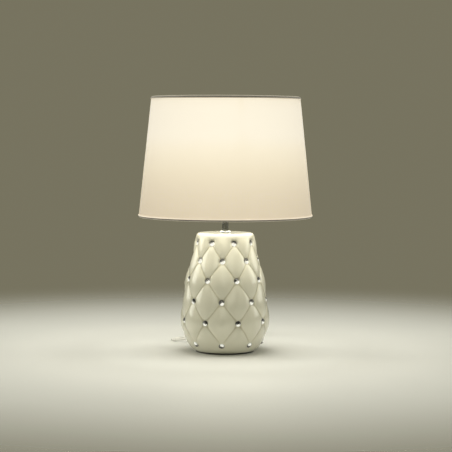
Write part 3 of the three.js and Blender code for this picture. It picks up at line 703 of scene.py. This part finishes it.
def ceramic_mesh():
    skin = [(smooth_at(SKIN, z), z) for z in (4.0, 5.5, 7.2, 9.0, 10.8, 12.6, 14.4)]
    steps = range(6 * ROWS_PER_CELL, int(0.72 * ROWS_PER_CELL), -1)
    skin += [(smooth_at(SKIN, height_at(s / ROWS_PER_CELL)), height_at(s / ROWS_PER_CELL)) for s in steps]
    foot = [(38, 2.3), (47.2, 2.3), (48.6, 2.5), (49.6, 3.0)]
    shoulder = [(46.85, 187.2), (46.2, 188.8), (45.2, 190.2), (43.8, 191.2), (42.0, 191.8), (40, 192)]
    rest = [(30, 192), (18, 192), (10.5, 192), (5.3, 192), (5.3, 187), (36, 187)]
    inside = [(smooth_at(SKIN, z) - WALL, z) for z in (180, 165, 150, 130, 110, 85, 56, 40, 24, 12)]
    profile = foot + skin + shoulder + rest + inside
    first, last = len(foot), len(foot) + len(skin)
    points, crease, depth = [], [], []
    for i in range(COLUMNS):
        angle = 360 * i / COLUMNS + EVEN_ROW_ANGLE  # to the right of the front
        column = i * 360 / COLUMNS / COLUMN
        a = math.radians(angle - 90)
        for j, (r, z) in enumerate(profile):
            crease.append(0.0)
            depth.append(0.0)
            if first <= j < last:
                away, row = to_crystal(column, z)
                seat = 1 - quilt_height(row % 2, row)  # each crystal has a round flat to sit on
                low = seat + (1 - quilt_height(column, row_at(z)) - seat) * smoothstep(away, 4.75, 7.0)
                r -= QUILT_DEPTH * low
                # the crease mask darkens the glaze: partly glaze pooling, partly painted shade
                crease[-1] = crease_at(column, row_at(z)) * smoothstep(away, 3.8, 6.0)
                depth[-1] = low
            points.append((r * math.cos(a) * MM, r * math.sin(a) * MM, z * MM))
    mesh = new_mesh("quilted_base", points, valley_faces(COLUMNS, len(profile), depth))
    mesh.attributes.new("crease", "FLOAT", "POINT").data.foreach_set("value", crease)
    return mesh


def cut(piece_object, cutters, sharp):
    """Takes the cutters out of a piece."""
    for i, cutter in enumerate(cutters):
        boolean = piece_object.modifiers.new(f"cut_{i}", "BOOLEAN")
        boolean.operation = "DIFFERENCE"
        boolean.solver = "EXACT"
        boolean.object = cutter
    bpy.context.view_layer.update()
    graph = bpy.context.evaluated_depsgraph_get()
    mesh = bpy.data.meshes.new_from_object(piece_object.evaluated_get(graph))
    piece_object.modifiers.clear()
    piece_object.data = mesh
    shaded(mesh, sharp)
    for cutter in cutters:
        bpy.data.objects.remove(cutter)
    return piece_object


def drum(radius, low, high, place, sides=48):
    """A plain cylinder used only to cut with."""
    loops = [[(x, y, z) for x, y in circle(radius, sides)] for z in (low, high)]
    return linked("cutter", loft("cutter", loops, place))


def make_ceramic():
    base = piece("quilted_base", ceramic_mesh(), "base", "glazed_ceramic", ("ceramic_body",), 0)
    cut(base, [drum(4.8, -30, 1, exit_axis()), drum(6.6, 0, 14, exit_axis())], 50)


make_ceramic()

# ---- crystals ----
STONE_RADIUS = 4.15
CUP_RADIUS = 4.6
STONE_RISE = 2.8


def facet_rings():
    """Girdle and two tiers of facets below the point, as (radius, height, count, phase)."""
    return [(STONE_RADIUS, 0.5, 16, 0.0), (STONE_RADIUS * 0.97, 0.75, 16, 0.0),
            (STONE_RADIUS * 0.78, 1.6, 8, 0.5), (STONE_RADIUS * 0.44, 2.4, 8, 0.0)]


def make_crystal(name, at, out, spin):
    """A cut stone in its cup, sitting on the bottom of its dimple and facing out."""
    turn = out.to_track_quat("Z", "Y").to_matrix().to_4x4()
    place = Matrix.Translation(at) @ turn @ Matrix.Rotation(spin, 4, "Z") @ TO_METRES
    bm = bmesh.new()
    rings = []
    for radius, height, count, phase in facet_rings():
        rings.append([bm.verts.new(place @ Vector((*polar(radius, TURN * (i + phase) / count), height)))
                      for i in range(count)])
    girdle, crown, middle, table = rings
    for i in range(16):
        k = (i + 1) % 16
        bm.faces.new((girdle[i], girdle[k], crown[k], crown[i]))
    for i in range(8):
        a, b, c = crown[2 * i], crown[2 * i + 1], crown[(2 * i + 2) % 16]
        bm.faces.new((a, b, middle[i]))
        bm.faces.new((b, c, middle[i]))
        bm.faces.new((c, middle[(i + 1) % 8], middle[i]))
        bm.faces.new((middle[i], table[(i + 1) % 8], table[i]))
        bm.faces.new((middle[i], middle[(i + 1) % 8], table[(i + 1) % 8]))
    point = bm.verts.new(place @ Vector((0, 0, STONE_RISE)))
    for i in range(8):
        bm.faces.new((table[i], table[(i + 1) % 8], point))
    bm.faces.new(girdle[::-1])
    tone = bm.faces.layers.float.new("facet")
    # the side of each stone that its painted reflection lights: downwards, but upwards on the bottom row
    lit = (turn @ Matrix.Rotation(0.45 * math.sin(spin * 5), 4, "Z")).to_3x3() @ Vector((0, 1, 0))
    if (lit.z > 0) == (at.z > 0.03):
        lit = -lit
    # painted light: stones higher up, nearer the lit shade, get brighter facet tones
    painted_brightness = 0.33 + 0.27 * smoothstep(at.z, 0.03, 0.17)  # stones near the lit shade are brighter
    for n, face in enumerate(bm.faces):
        # painted reflection: each stone's facets are painted bright on one side, mostly below, and dark on
        # the other
        side = (face.calc_center_median() - at).normalized().dot(lit)
        glint = noise.noise(Vector((at.x * 900 + n * 0.71, at.y * 900, at.z * 700)))
        face[tone] = min(1.0, max(0.0, painted_brightness + 1.15 * side + 0.7 * glint))
    cup = [(STONE_RADIUS - 0.1, -1.2), (CUP_RADIUS - 0.25, -1.2), (CUP_RADIUS, -0.4), (CUP_RADIUS, 0.55),
           (CUP_RADIUS - 0.15, 0.85), (CUP_RADIUS - 0.4, 0.95), (STONE_RADIUS - 0.05, 0.78)]
    sides = 24
    loops = [[bm.verts.new(place @ Vector((*polar(r, TURN * i / sides), h))) for r, h in cup]
             for i in range(sides)]
    cup_faces = []
    for i in range(sides):
        a, b = loops[i], loops[(i + 1) % sides]
        for j in range(len(cup)):
            k = (j + 1) % len(cup)
            cup_faces.append(bm.faces.new((a[j], b[j], b[k], a[k])))
    bmesh.ops.recalc_face_normals(bm, faces=bm.faces)
    # painted light and shade: each cup is lighter on its painted-lit side and darker on the other
    for face in cup_faces:
        side = (face.calc_center_median() - at).normalized().dot(lit)
        face.smooth = True
        face[tone] = min(0.8, max(0.3, painted_brightness + 0.4 * side))
    mesh = bpy.data.meshes.new(name)
    bm.to_mesh(mesh)
    bm.free()
    mesh.materials.append(FINISHES["crystal"])
    made = linked(name, mesh)
    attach(made, "base")


def make_crystals():
    for row, z in enumerate(ROW_HEIGHTS, 1):
        sunk = QUILT_DEPTH * (1 - quilt_height(row % 2, row))
        lean = (smooth_at(SKIN, z + 4) - smooth_at(SKIN, z - 4)) / 8
        for i in range(8):
            a = math.radians(EVEN_ROW_ANGLE + COLUMN * (2 * i + row % 2) - 90)
            out = Vector((math.cos(a), math.sin(a), -lean)).normalized()
            radius = smooth_at(SKIN, z) - sunk
            at = Vector((radius * math.cos(a), radius * math.sin(a), z)) * MM + out * 0.1 * MM
            spin = math.pi * noise.noise(Vector((row * 3.7, i * 5.3, 0.5)))
            make_crystal(f"crystal_{row}_{i + 1}", at, out, spin)


make_crystals()

# ---- shade ----
SHADE_RADII = (140.3, 120.0)
FABRIC = 1.0
HEM_SKIN = 0.5
GAP = 0.3
RING_WIRE = 1.4
ARM_WIRE = 1.5
FITTER_TOP = 264.8
SEAM = 12.0  # width of the overlap at the back


def shade_radius(z):
    share = (z - SHADE_BOTTOM) / (SHADE_TOP - SHADE_BOTTOM)
    return SHADE_RADII[0] + (SHADE_RADII[1] - SHADE_RADII[0]) * share


def make_shade_fabric():
    columns, rows = 288, 40
    skin = HEM_SKIN + GAP
    low, high = SHADE_BOTTOM + skin, SHADE_TOP - skin
    heights = [low + (high - low) * j / rows for j in range(rows + 1)]
    outer = [(shade_radius(z) - skin, z) for z in heights]
    inner = [(shade_radius(z) - skin - FABRIC, z) for z in heights]
    profile = inner[:1] + outer + inner[:0:-1]

    def ripple(angle, r, z):
        # the laminate is never quite round; the overlap at the back stands a little proud
        soft = 0.16 * noise.noise(Vector((math.cos(angle) * 2.2, math.sin(angle) * 2.2, z * 0.018)))
        arc = math.remainder(angle - math.pi / 2, TURN) * r
        edge = SEAM / 2
        lap = 0.38 * (smoothstep(arc, -edge - 0.5, -edge) - smoothstep(arc, edge, edge + 0.5))
        return soft + (lap if r > shade_radius(z) - skin - FABRIC / 2 else 0.0)

    skin_piece = lathe("shade_fabric_skin", profile, "shade", "shade_fabric", ("shade_fabric",), columns,
                       ripple, sharp=60)
    skin_piece.data.materials.append(backing_finish())
    inside = [j % len(profile) > rows or j % len(profile) == 0 for j in range(columns * len(profile))]
    skin_piece.data.polygons.foreach_set("material_index", [int(b) for b in inside])
    return skin_piece


def make_hem(name, edge, up, node):
    """The fabric turned over the ring's wire and glued back inside: a rounded lip with the
    small puckers of the glued fold."""
    columns = 288
    deep = -FABRIC - 2 * RING_WIRE - 2 * GAP - 2 * HEM_SKIN
    middle = deep / 2
    outline = [(0, HEM), (0.02, HEM * 0.6), (0, 2.2)]
    outline += [(middle - middle * math.cos(a), 2.2 - 2.2 * math.sin(a))
                for a in np.linspace(0.25, math.pi - 0.25, 9)]
    outline += [(deep, 2.2), (deep, HEM), (deep + HEM_SKIN, HEM), (deep + HEM_SKIN, 2.3)]
    outline += [(middle - (middle + HEM_SKIN) * math.cos(a), 2.3 - 1.7 * math.sin(a))
                for a in np.linspace(math.pi - 0.25, 0.25, 7)]
    outline += [(-HEM_SKIN, 2.3), (-HEM_SKIN, HEM)]
    points = []
    for i in range(columns):
        angle = TURN * i / columns
        pucker = 0.10 * noise.noise(Vector((math.cos(angle) * 22, math.sin(angle) * 22, up)))
        drift = 0.16 * noise.noise(Vector((math.cos(angle) * 5, math.sin(angle) * 5, 4 + up)))
        for out, inward in outline:
            free = 1.0 if inward >= HEM else 0.0
            z = edge - up * (inward + drift * free)
            r = shade_radius(z) + out + pucker * (0.4 + 0.6 * free)
            points.append((r * math.cos(angle) * MM, r * math.sin(angle) * MM, z * MM))
    mesh = new_mesh(name, points, grid_faces(columns, len(outline)), True)
    return piece(name, mesh, "shade", "shade_hem", (node,), 50)


def make_spider():
    """Three bent arms with their welds on the fitter ring, as in the CAD but round."""
    ring_face = 24.6 + GAP
    hem_face = shade_radius(SHADE_TOP - HEM) - FABRIC - 2 * RING_WIRE - 2 * HEM_SKIN - 4 * GAP
    route = [
        (ring_face, FITTER_TOP + 1.1), (29.5, FITTER_TOP + 1.1), (32.5, FITTER_TOP + 3),
        (35.5, FITTER_TOP + 8),
        ((35.5 + hem_face) / 2, (FITTER_TOP + SHADE_TOP) / 2), (hem_face - 9, SHADE_TOP - 12),
        (hem_face - 6, SHADE_TOP - 6.6), (hem_face - 3, SHADE_TOP - 3.2), (hem_face, SHADE_TOP - 3),
    ]
    for i, angle in enumerate(ARM_ANGLES):
        a = math.radians(angle - 90)
        line = catmull([(r * math.cos(a) * MM, r * math.sin(a) * MM, z * MM) for r, z in route], 9)
        tube(f"spider_arm_{i + 1}_wire", line, circle(ARM_WIRE * MM, 14), "shade", "white_wire",
             (f"spider_arm_{i + 1}",))
        for name, (r, z), size in (("inner", (25.2, FITTER_TOP + 1.1), (1.5, 2.1)),
                                   ("outer", (hem_face + 0.1, SHADE_TOP - 3.1), (1.2, 1.9))):
            tall, wide = size
            blob = [(0, -tall), (wide * 0.7, -tall * 0.7), (wide, 0), (wide * 0.7, tall * 0.7), (0, tall)]
            place = Matrix.Translation(Vector((*polar(r, a), z)) * MM) @ TO_METRES
            lathe(f"weld_{name}_{i + 1}", blob, "shade", "white_wire", columns=16,
                  place=place, sharp=0, closed=False,
                  shift=lambda t, r0, z0: 0.18 * math.sin(3 * t + z0))


shade_cloth = make_shade_fabric()
hems = [make_hem("top_hem_fold", SHADE_TOP, 1, "top_hem"),
        make_hem("bottom_hem_fold", SHADE_BOTTOM, -1, "bottom_hem")]
make_spider()

# ---- bulb and holder ----
BULB_CONTACT = 261.0
BULB_CENTRE = 338.0
BULB_RADIUS = 30.0
PITCH = 3.63
INSERT_TOP = 257.5
COLLAR_TOP = 264.5
SLEEVE_TOP = 287.0


def make_bulb():
    shell = BULB_CONTACT + 5
    neck = shell + 22

    def globe(radius, steps):
        return [(radius * math.cos(math.radians(90 - 122 * i / steps)) if i else 0.0,
                 BULB_CENTRE + radius * math.sin(math.radians(90 - 122 * i / steps)))
                for i in range(steps + 1)]

    hip = [(24.2, neck + 30.5), (22.3, neck + 27), (20.4, neck + 22.4), (18.6, neck + 18),
           (16.8, neck + 12.8), (15.2, neck + 8), (14.2, neck + 4), (13.6, neck + 1)]
    outside = (globe(BULB_RADIUS, 24) + hip)[::-1]
    inside = globe(BULB_RADIUS - 1, 16) + [(17.4, neck + 18), (12.4, neck + 1)]
    lathe("bulb_globe", inside + outside, "bulb", "opal_glass", ("bulb_glass",), 48,
          sharp=60, closed=False)
    top = shell + math.floor(2 * 22 / PITCH) * PITCH / 2
    steps = 40
    skin = [(12.9, shell + (top - shell) * i / steps) for i in range(steps + 1)]
    profile = [(12.0, shell)] + skin + [(12.0, top)]

    def thread(angle, r, z):
        if r < 12.5:
            return 0.0
        ends = smoothstep(z, shell, shell + 2) * (1 - smoothstep(z, top - 2, top))
        return 0.3 * math.sin(TURN * z / PITCH - angle) * ends

    lathe("bulb_screw_cap", profile, "bulb", "zinc_steel", ("bulb_cap",), 72,
          shift=thread, sharp=60)


def make_sleeve():
    """The holder's threaded sleeve and its collar."""
    seat = COLLAR_TOP - 2.5
    steps = 60
    low, high = COLLAR_TOP + 0.4, SLEEVE_TOP - 0.9
    skin = [(19.45, low + (high - low) * i / steps) for i in range(steps + 1)]
    profile = [(16.2, INSERT_TOP - 4), (16.9, INSERT_TOP - 4), (16.9, INSERT_TOP - 0.2),
               (19, INSERT_TOP - 0.2), (19, seat), (23.6, seat), (24, seat + 0.4), (24, COLLAR_TOP - 0.4),
               (23.6, COLLAR_TOP), (19.6, COLLAR_TOP)]
    profile += skin
    profile += [(19, SLEEVE_TOP), (15.6, SLEEVE_TOP), (15.2, SLEEVE_TOP - 0.4),
                (15.2, INSERT_TOP + GAP), (16.2, INSERT_TOP + GAP)]

    def thread(angle, r, z):
        if not (low < z < high and 19.2 < r < 19.7):
            return 0.0
        ends = smoothstep(z, low, low + 1.5) * (1 - smoothstep(z, high - 1.5, high))
        wave = math.sin(TURN * z / 2.5 - angle)
        return 0.3 * max(-1.0, min(1.0, 1.6 * wave)) * ends

    lathe("holder_sleeve_threaded", profile, "base", "holder_plastic", ("holder_sleeve",), 96,
          shift=thread, sharp=55)


def make_clamp_ring():
    """The ring that clamps the shade: a dished skirt with finger grips round its neck."""
    clamp = FITTER_TOP + 2.6 + GAP
    profile = [(20.0, clamp), (24.2, clamp), (26.5, clamp + 1.8), (28.3, clamp + 3.2), (28.5, clamp + 3.6),
               (28.4, clamp + 4.5), (28.0, clamp + 5.0), (27.3, clamp + 5.2), (26.6, clamp + 4.9),
               (24, clamp + 3.7), (22.6, clamp + 4.2), (22.4, clamp + 4.8), (22.4, clamp + 6.5),
               (22.4, clamp + 8.1), (22.1, clamp + 8.5), (20.3, clamp + 8.5), (20.0, clamp + 8.2)]

    def grips(angle, r, z):
        if r < 27.5 or z < clamp + 3.3:
            return 0.0
        return -0.7 * max(0.0, math.cos(angle * 12)) ** 2

    lathe("clamp_ring_gripped", profile, "clamp_ring", "holder_plastic", ("shade_ring",), 144,
          shift=grips, sharp=50)


make_bulb()
make_sleeve()
make_clamp_ring()


# ---- bushing, switch, plug and tie ----
def make_bushing():
    """Moulded strain relief: a flange on the seat and a tapered tail with flexing grooves."""
    tail = 26.5
    outer = [(6.2, 0.3), (6.2, 1.6), (5.9, 2.1), (5.2, 2.6)]
    ribs = 6
    for i in range(ribs):
        start = 5.0 + i * 3.2
        r = 5.2 + (3.75 - 5.2) * (start - 2.6) / (tail - 2.6)
        step = (3.75 - 5.2) * 3.2 / (tail - 2.6)
        outer += [(r, start - 0.35), (r - 0.75, start + 0.1), (r - 0.78 + step * 0.3, start + 0.9),
                  (r + step * 0.4, start + 1.3)]
    outer += [(3.8, tail - 0.9), (3.65, tail - 0.2), (3.3, tail), (3.05, tail - 0.2)]
    profile = [(3.05, -9), (4.5, -9), (4.5, 0.3)] + outer

    def flat_bore(angle, r, z):
        # the bore has the lead's own section, with its long side level
        if r > 3.1:
            return 0.0
        half, end = (CORD_WIDTH - CORD_HEIGHT) / 2, CORD_HEIGHT / 2 + 0.1
        rise, level = abs(math.cos(angle)), abs(math.sin(angle))
        if level * end <= half * rise:
            return end / rise - r
        return half * level + math.sqrt(end * end - (half * rise) ** 2) - r

    lathe("bushing_tail", profile, "base", "lead_pvc", ("cord_bushing",), 40,
          place=exit_axis(), shift=flat_bore, sharp=45)


def squircle(half_width, half_height, power, sides=40):
    out = []
    for i in range(sides):
        a = TURN * i / sides
        c, s = math.cos(a), math.sin(a)
        out.append((half_width * math.copysign(abs(c) ** (2 / power), c),
                    half_height * math.copysign(abs(s) ** (2 / power), s)))
    return out


def make_plug():
    """Moulded two-pin plug: a ribbed strain relief that swells into a waisted grip, a parting
    line round it, and a recessed front face."""
    x, y, z = -36.0, 222.5, 7.0
    stations = [(0, 2.9, 2.55, 2.2), (0.5, 3.35, 2.75, 2.2)]
    for i in range(6):
        d = 1.6 + i * 2.3
        stations += [(d, 3.6 + 0.09 * d, 2.8 + 0.075 * d, 2.4),
                     (d + 0.35, 3.0 + 0.09 * d, 2.2 + 0.075 * d, 2.4),
                     (d + 1.1, 3.05 + 0.09 * d, 2.25 + 0.075 * d, 2.4),
                     (d + 1.45, 3.65 + 0.09 * d, 2.85 + 0.075 * d, 2.4)]
    stations += [(16.5, 5.3, 4.0, 2.6), (19.5, 6.5, 4.5, 2.7), (23, 8.9, 5.3, 2.9), (26, 11.2, 6.2, 3.2),
                 (29.5, 13.0, 6.75, 3.6), (33, 14.6, 6.8, 4.0), (36, 16.0, 6.8, 4.4), (38.6, 17.2, 6.8, 4.8),
                 (40.6, 17.6, 6.82, 5.2), (41.6, 17.5, 6.75, 5.2), (42.0, 17.1, 6.4, 5.2),
                 (42.0, 16.2, 5.6, 5.2),
                 (41.7, 15.7, 5.1, 5.2), (41.7, 8.0, 2.6, 4.0), (41.7, 1.0, 0.4, 3.0)]
    sections = []
    for d, w, t, power in stations:
        section = []
        for a, b in squircle(w, t, power, 48):
            seam = 1 - 0.012 * math.exp(-(b / 0.25) ** 2) if 20 < d < 41 else 1.0
            section.append((x + a * seam, y - d, z + b))
        sections.append(section)
    return piece("plug_moulding", loft("plug_moulding", sections), "base", "plug_pvc", ("plug_body",), 40)


def make_tie():
    """A soft strap round the coil."""
    angle = math.radians(215)
    middle = (25.3 + 36.1) / 2
    half = (36.1 - 25.3) / 2 + 0.55
    bottom, top = 0.25, 15.05
    corner = 2.2
    loop = []
    for cx, cz, start in ((half - corner, top - corner, 0), (-half + corner, top - corner, 90),
                          (-half + corner, bottom + corner, 180), (half - corner, bottom + corner, 270)):
        loop += [(cx + corner * math.cos(math.radians(start + t)),
                  cz + corner * math.sin(math.radians(start + t)))
                 for t in range(0, 91, 15)]
    section = [(-2.4, -0.25), (2.4, -0.25), (2.55, 0), (2.4, 0.25), (-2.4, 0.25), (-2.55, 0)]
    points = []
    count = len(loop)
    for i, (u, w) in enumerate(loop):
        (u0, w0), (u1, w1) = loop[i - 1], loop[(i + 1) % count]
        t = Vector((u1 - u0, w1 - w0)).normalized()
        out = Vector((t.y, -t.x))
        for across, rise in section:
            r = middle + u + out.x * rise
            h = w + out.y * rise
            points.append(((COIL_CENTRE[0] + r * math.cos(angle) - across * math.sin(angle)) * MM,
                           (COIL_CENTRE[1] + r * math.sin(angle) + across * math.cos(angle)) * MM, h * MM))
    mesh = new_mesh("tie_strap", points, grid_faces(count, len(section)), True)
    return piece("tie_strap", mesh, "base", "tie_plastic", ("cord_tie",), 50)


SWITCH_Y = 143.0
# from the middle outwards: (along, half width, bottom, top)
SWITCH_FORM = [(0, 13.5, 0, 20), (6, 13.5, 0, 20), (12, 13.5, 0, 20), (15, 13.5, 0, 19.6),
               (18.3, 13.4, 0, 18.6),
               (21, 12.9, 0, 17.5), (24.3, 11.8, 0, 16.3), (27.5, 9.9, 0, 15), (30.5, 7.8, 0.05, 13.7),
               (33, 6.4, 0.3, 12.6), (35.3, 5.5, 0.9, 11.6), (37, 4.95, 1.9, 10.9), (37.9, 4.5, 2.7, 10.3),
               (38.3, 3.8, 3.4, 9.6)]
ROCKER_AXIS = 17.2
ROCKER_TILT = 7  # degrees


def switch_solid(inset=0.0):
    """The moulding's form, or the same form inset for the space inside it."""
    half = [(x, w - inset, low + inset, top - 1.5 * inset) for x, w, low, top in SWITCH_FORM
            if x < 38.4 - inset]
    sections = []
    for x, w, low, top in [(-x, w, low, top) for x, w, low, top in half[:0:-1]] + half:
        middle, rise = (low + top) / 2, (top - low) / 2
        sections.append([(x, SWITCH_Y + a, middle + b) for a, b in squircle(w, rise, 3.8, 64)])
    return loft("switch_form", sections)


def block(x, y, z, flare=0.0):
    """A plain block used only to cut with; flare widens its top into a chamfer."""
    loops = [(z[0], 0.0), (z[1] - 2 * flare, 0.0), (z[1], 2 * flare)] if flare else [(z[0], 0.0), (z[1], 0.0)]
    sections = [[(x[0] - f, y[0] - f, h), (x[1] + f, y[0] - f, h), (x[1] + f, y[1] + f, h),
                 (x[0] - f, y[1] + f, h)]
                for h, f in loops]
    return linked("cutter", loft("cutter", sections))


def make_switch_cases():
    """Two mouldings screwed together from below, with the lead's channel through both ends and
    the rocker's window in the top."""
    made = []
    for name, z in (("lower", (9.5, 25)), ("upper", (-5, 9.8))):
        node = f"switch_{name}_case"
        case = piece(node + "_moulded", switch_solid(), "base", "switch_plastic", (node,), 30)
        inside = linked("cutter", switch_solid(2.0))
        y0 = SWITCH_Y
        cutters = [block((-45, 45), (y0 - 20, y0 + 20), z), inside,
                    block((-45, 45), (y0 - 3, y0 + 3), (3.9, 8.1))]
        if name == "lower":
            cutters += [drum(3, -2, 1.9, Matrix.Translation(Vector((x, y0 + 7, 0)) * MM) @ TO_METRES)
                        for x in (-22, 22)]
        else:
            cutters.append(block((-10.6, 10.6), (y0 - 6, y0 + 6), (12, 20.4), 0.4))
        made.append(cut(case, cutters, 30))
    return made


def make_rocker():
    """A dished rocker with three fine ridges at the end that is pressed to switch on."""
    tilt = Matrix.Rotation(math.radians(-ROCKER_TILT), 4, "Y")
    turn = Matrix.Translation((0, SWITCH_Y, ROCKER_AXIS)) @ tilt
    sections = []
    end_steps = np.linspace(9.2, 9.8, 5)
    for x in [*-end_steps[::-1], *np.linspace(-9.0, 9.0, 121), *end_steps]:
        end = max(0.0, abs(x) - 9.2) / 0.6
        tuck = 0.55 * (1 - math.sqrt(max(0.0, 1 - end * end)))
        top = 2.45 + math.hypot(0.122 * x, 0.15) - tuck
        top += 0.22 * sum(math.exp(-((x - at) / 0.28) ** 2) for at in (5.4, 6.8, 8.2))
        low = -4.2 + 2.6 * max(0.0, abs(x) - 3) / 6.8 + tuck
        middle, rise = (low + top) / 2, (top - low) / 2
        sections.append([turn @ Vector((x, a, middle + b)) for a, b in squircle(5.5 - tuck, rise, 9, 48)])
    made = piece("switch_rocker_moulded", loft("rocker", sections), "rocker",
                        "switch_plastic", ("switch_rocker",), 40)
    axle = Matrix.Translation(Vector((0, SWITCH_Y, ROCKER_AXIS)) * MM) @ Matrix.Rotation(math.pi / 2, 4, "X")
    return cut(made, [drum(1.3, -10, 10, axle @ TO_METRES, 24)], 40)


make_bushing()
plug = make_plug()
tie = make_tie()
lower_case, upper_case = make_switch_cases()
rocker = make_rocker()


# ---- studio ----
FLOOR_FADE = (0.24, 1.15)  # metres from the axis where the floor starts to fade, and where it is gone
BACKDROP = (0.185, 0.173, 0.116)
WHITE_LIGHT = (1.0, 0.99, 0.88)


def make_floor():
    """A pale floor that fades softly into the backdrop's tone."""
    sides = 96
    rings = [0.2, 0.45, 0.8, 1.3, 2.2]
    points = [(x, y, 0.0) for r in rings for x, y in circle(r, sides)]
    faces = [tuple(range(sides))]
    faces += grid_faces(len(rings), sides, False)
    mesh = new_mesh("floor", points, faces)
    f = Finish("floor", (0.80, 0.80, 0.775), 0.55)
    f.tinted(f.noise(6, 3), (0.785, 0.785, 0.76))
    length = f.node("ShaderNodeVectorMath", operation="LENGTH")
    f.link(f.place, length.inputs[0])
    fade = f.node("ShaderNodeMapRange", interpolation_type="SMOOTHERSTEP")
    f.link(length.outputs["Value"], fade.inputs["Value"])
    fade.inputs["From Min"].default_value = FLOOR_FADE[0]
    fade.inputs["From Max"].default_value = FLOOR_FADE[1]
    clear = f.node("ShaderNodeBsdfTransparent")
    mix = f.node("ShaderNodeMixShader")
    f.link(fade.outputs["Result"], mix.inputs["Fac"])
    f.link(f.shader.outputs[0], mix.inputs[1])
    f.link(clear.outputs[0], mix.inputs[2])
    f.link(mix.outputs[0], f.tree.nodes["Material Output"].inputs["Surface"])
    mesh.materials.append(f.material)
    floor = linked("floor", mesh)
    floor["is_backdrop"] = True


def softbox(name, at, aim, size, power, color):
    data = bpy.data.lights.new(name, "AREA")
    data.shape = "RECTANGLE"
    data.size, data.size_y = size
    data.energy = power
    data.color = color
    return aimed(name, data, at, aim)


def lit_only(light, name, objects):
    group = bpy.data.collections.new(name)
    for o in objects:
        group.objects.link(o)
    light.light_linking.receiver_collection = group


def lamp_light():
    """The bulb's own light on the base and the floor. The lit glass lights the shade's inside."""
    bulb = bpy.data.lights.new("lamp", "POINT")
    bulb.energy = 0.09
    bulb.shadow_soft_size = 0.028
    opening = bpy.data.lights.new("shade_opening", "AREA")
    opening.energy = 0.175
    opening.shape = "DISK"
    opening.size = 0.26
    below = ("quilted", "crystal", "flat_lead", "felt", "neck", "bushing", "plug", "switch")
    lit = [bpy.data.objects["floor"]] + [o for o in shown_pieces() if o.name.startswith(below)]
    for data, height in ((bulb, BULB_Z), (opening, 0.2165)):
        data.color = (1.0, 0.985, 0.90)
        light = linked(data.name, data)
        light.location = (0, 0, height)
        lit_only(light, "lit_by_" + data.name, lit)
    bpy.data.objects["bulb_globe"].visible_shadow = False


def make_studio():
    make_floor()
    world = bpy.data.worlds.new("studio")
    bpy.context.scene.world = world
    world.use_nodes = True
    background = world.node_tree.nodes["Background"]
    background.inputs["Color"].default_value = (*BACKDROP, 1)
    # full strength to the eye, less in reflections, and least as light
    ray = world.node_tree.nodes.new("ShaderNodeLightPath")
    direct = world.node_tree.nodes.new("ShaderNodeMath")
    total = world.node_tree.nodes.new("ShaderNodeMath")
    for node, kind, share in ((direct, "Is Camera Ray", 0.9), (total, "Is Glossy Ray", 0.35)):
        node.operation = "MULTIPLY_ADD"
        world.node_tree.links.new(ray.outputs[kind], node.inputs[0])
        node.inputs[1].default_value = share
    direct.inputs[2].default_value = 0.1
    world.node_tree.links.new(direct.outputs[0], total.inputs[2])
    world.node_tree.links.new(total.outputs[0], background.inputs["Strength"])
    softbox("overhead", (0.0, 0.1, 2.2), (0, 0, 0.1), (1.5, 1.5), 33, WHITE_LIGHT)
    left = softbox("left", (-1.7, 0.35, 0.8), (0, 0, 0.15), (1.2, 1.2), 13, WHITE_LIGHT)
    right = softbox("right", (1.7, 0.35, 0.8), (0, 0, 0.15), (1.2, 1.2), 10, WHITE_LIGHT)
    softbox("front", (0.0, -2.2, 1.2), (0, 0, 0.1), (1.5, 1.5), 9.0, (1.0, 0.99, 0.80))
    # the side lights model the base; on the shade its painted glow does that
    rest = [bpy.data.objects["floor"]] + [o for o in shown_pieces() if not o.name.startswith("shade")]
    lit_only(left, "lit_by_left", rest)
    lit_only(right, "lit_by_right", rest)
    lamp_light()
    bpy.context.scene.view_settings.view_transform = "Standard"


make_studio()
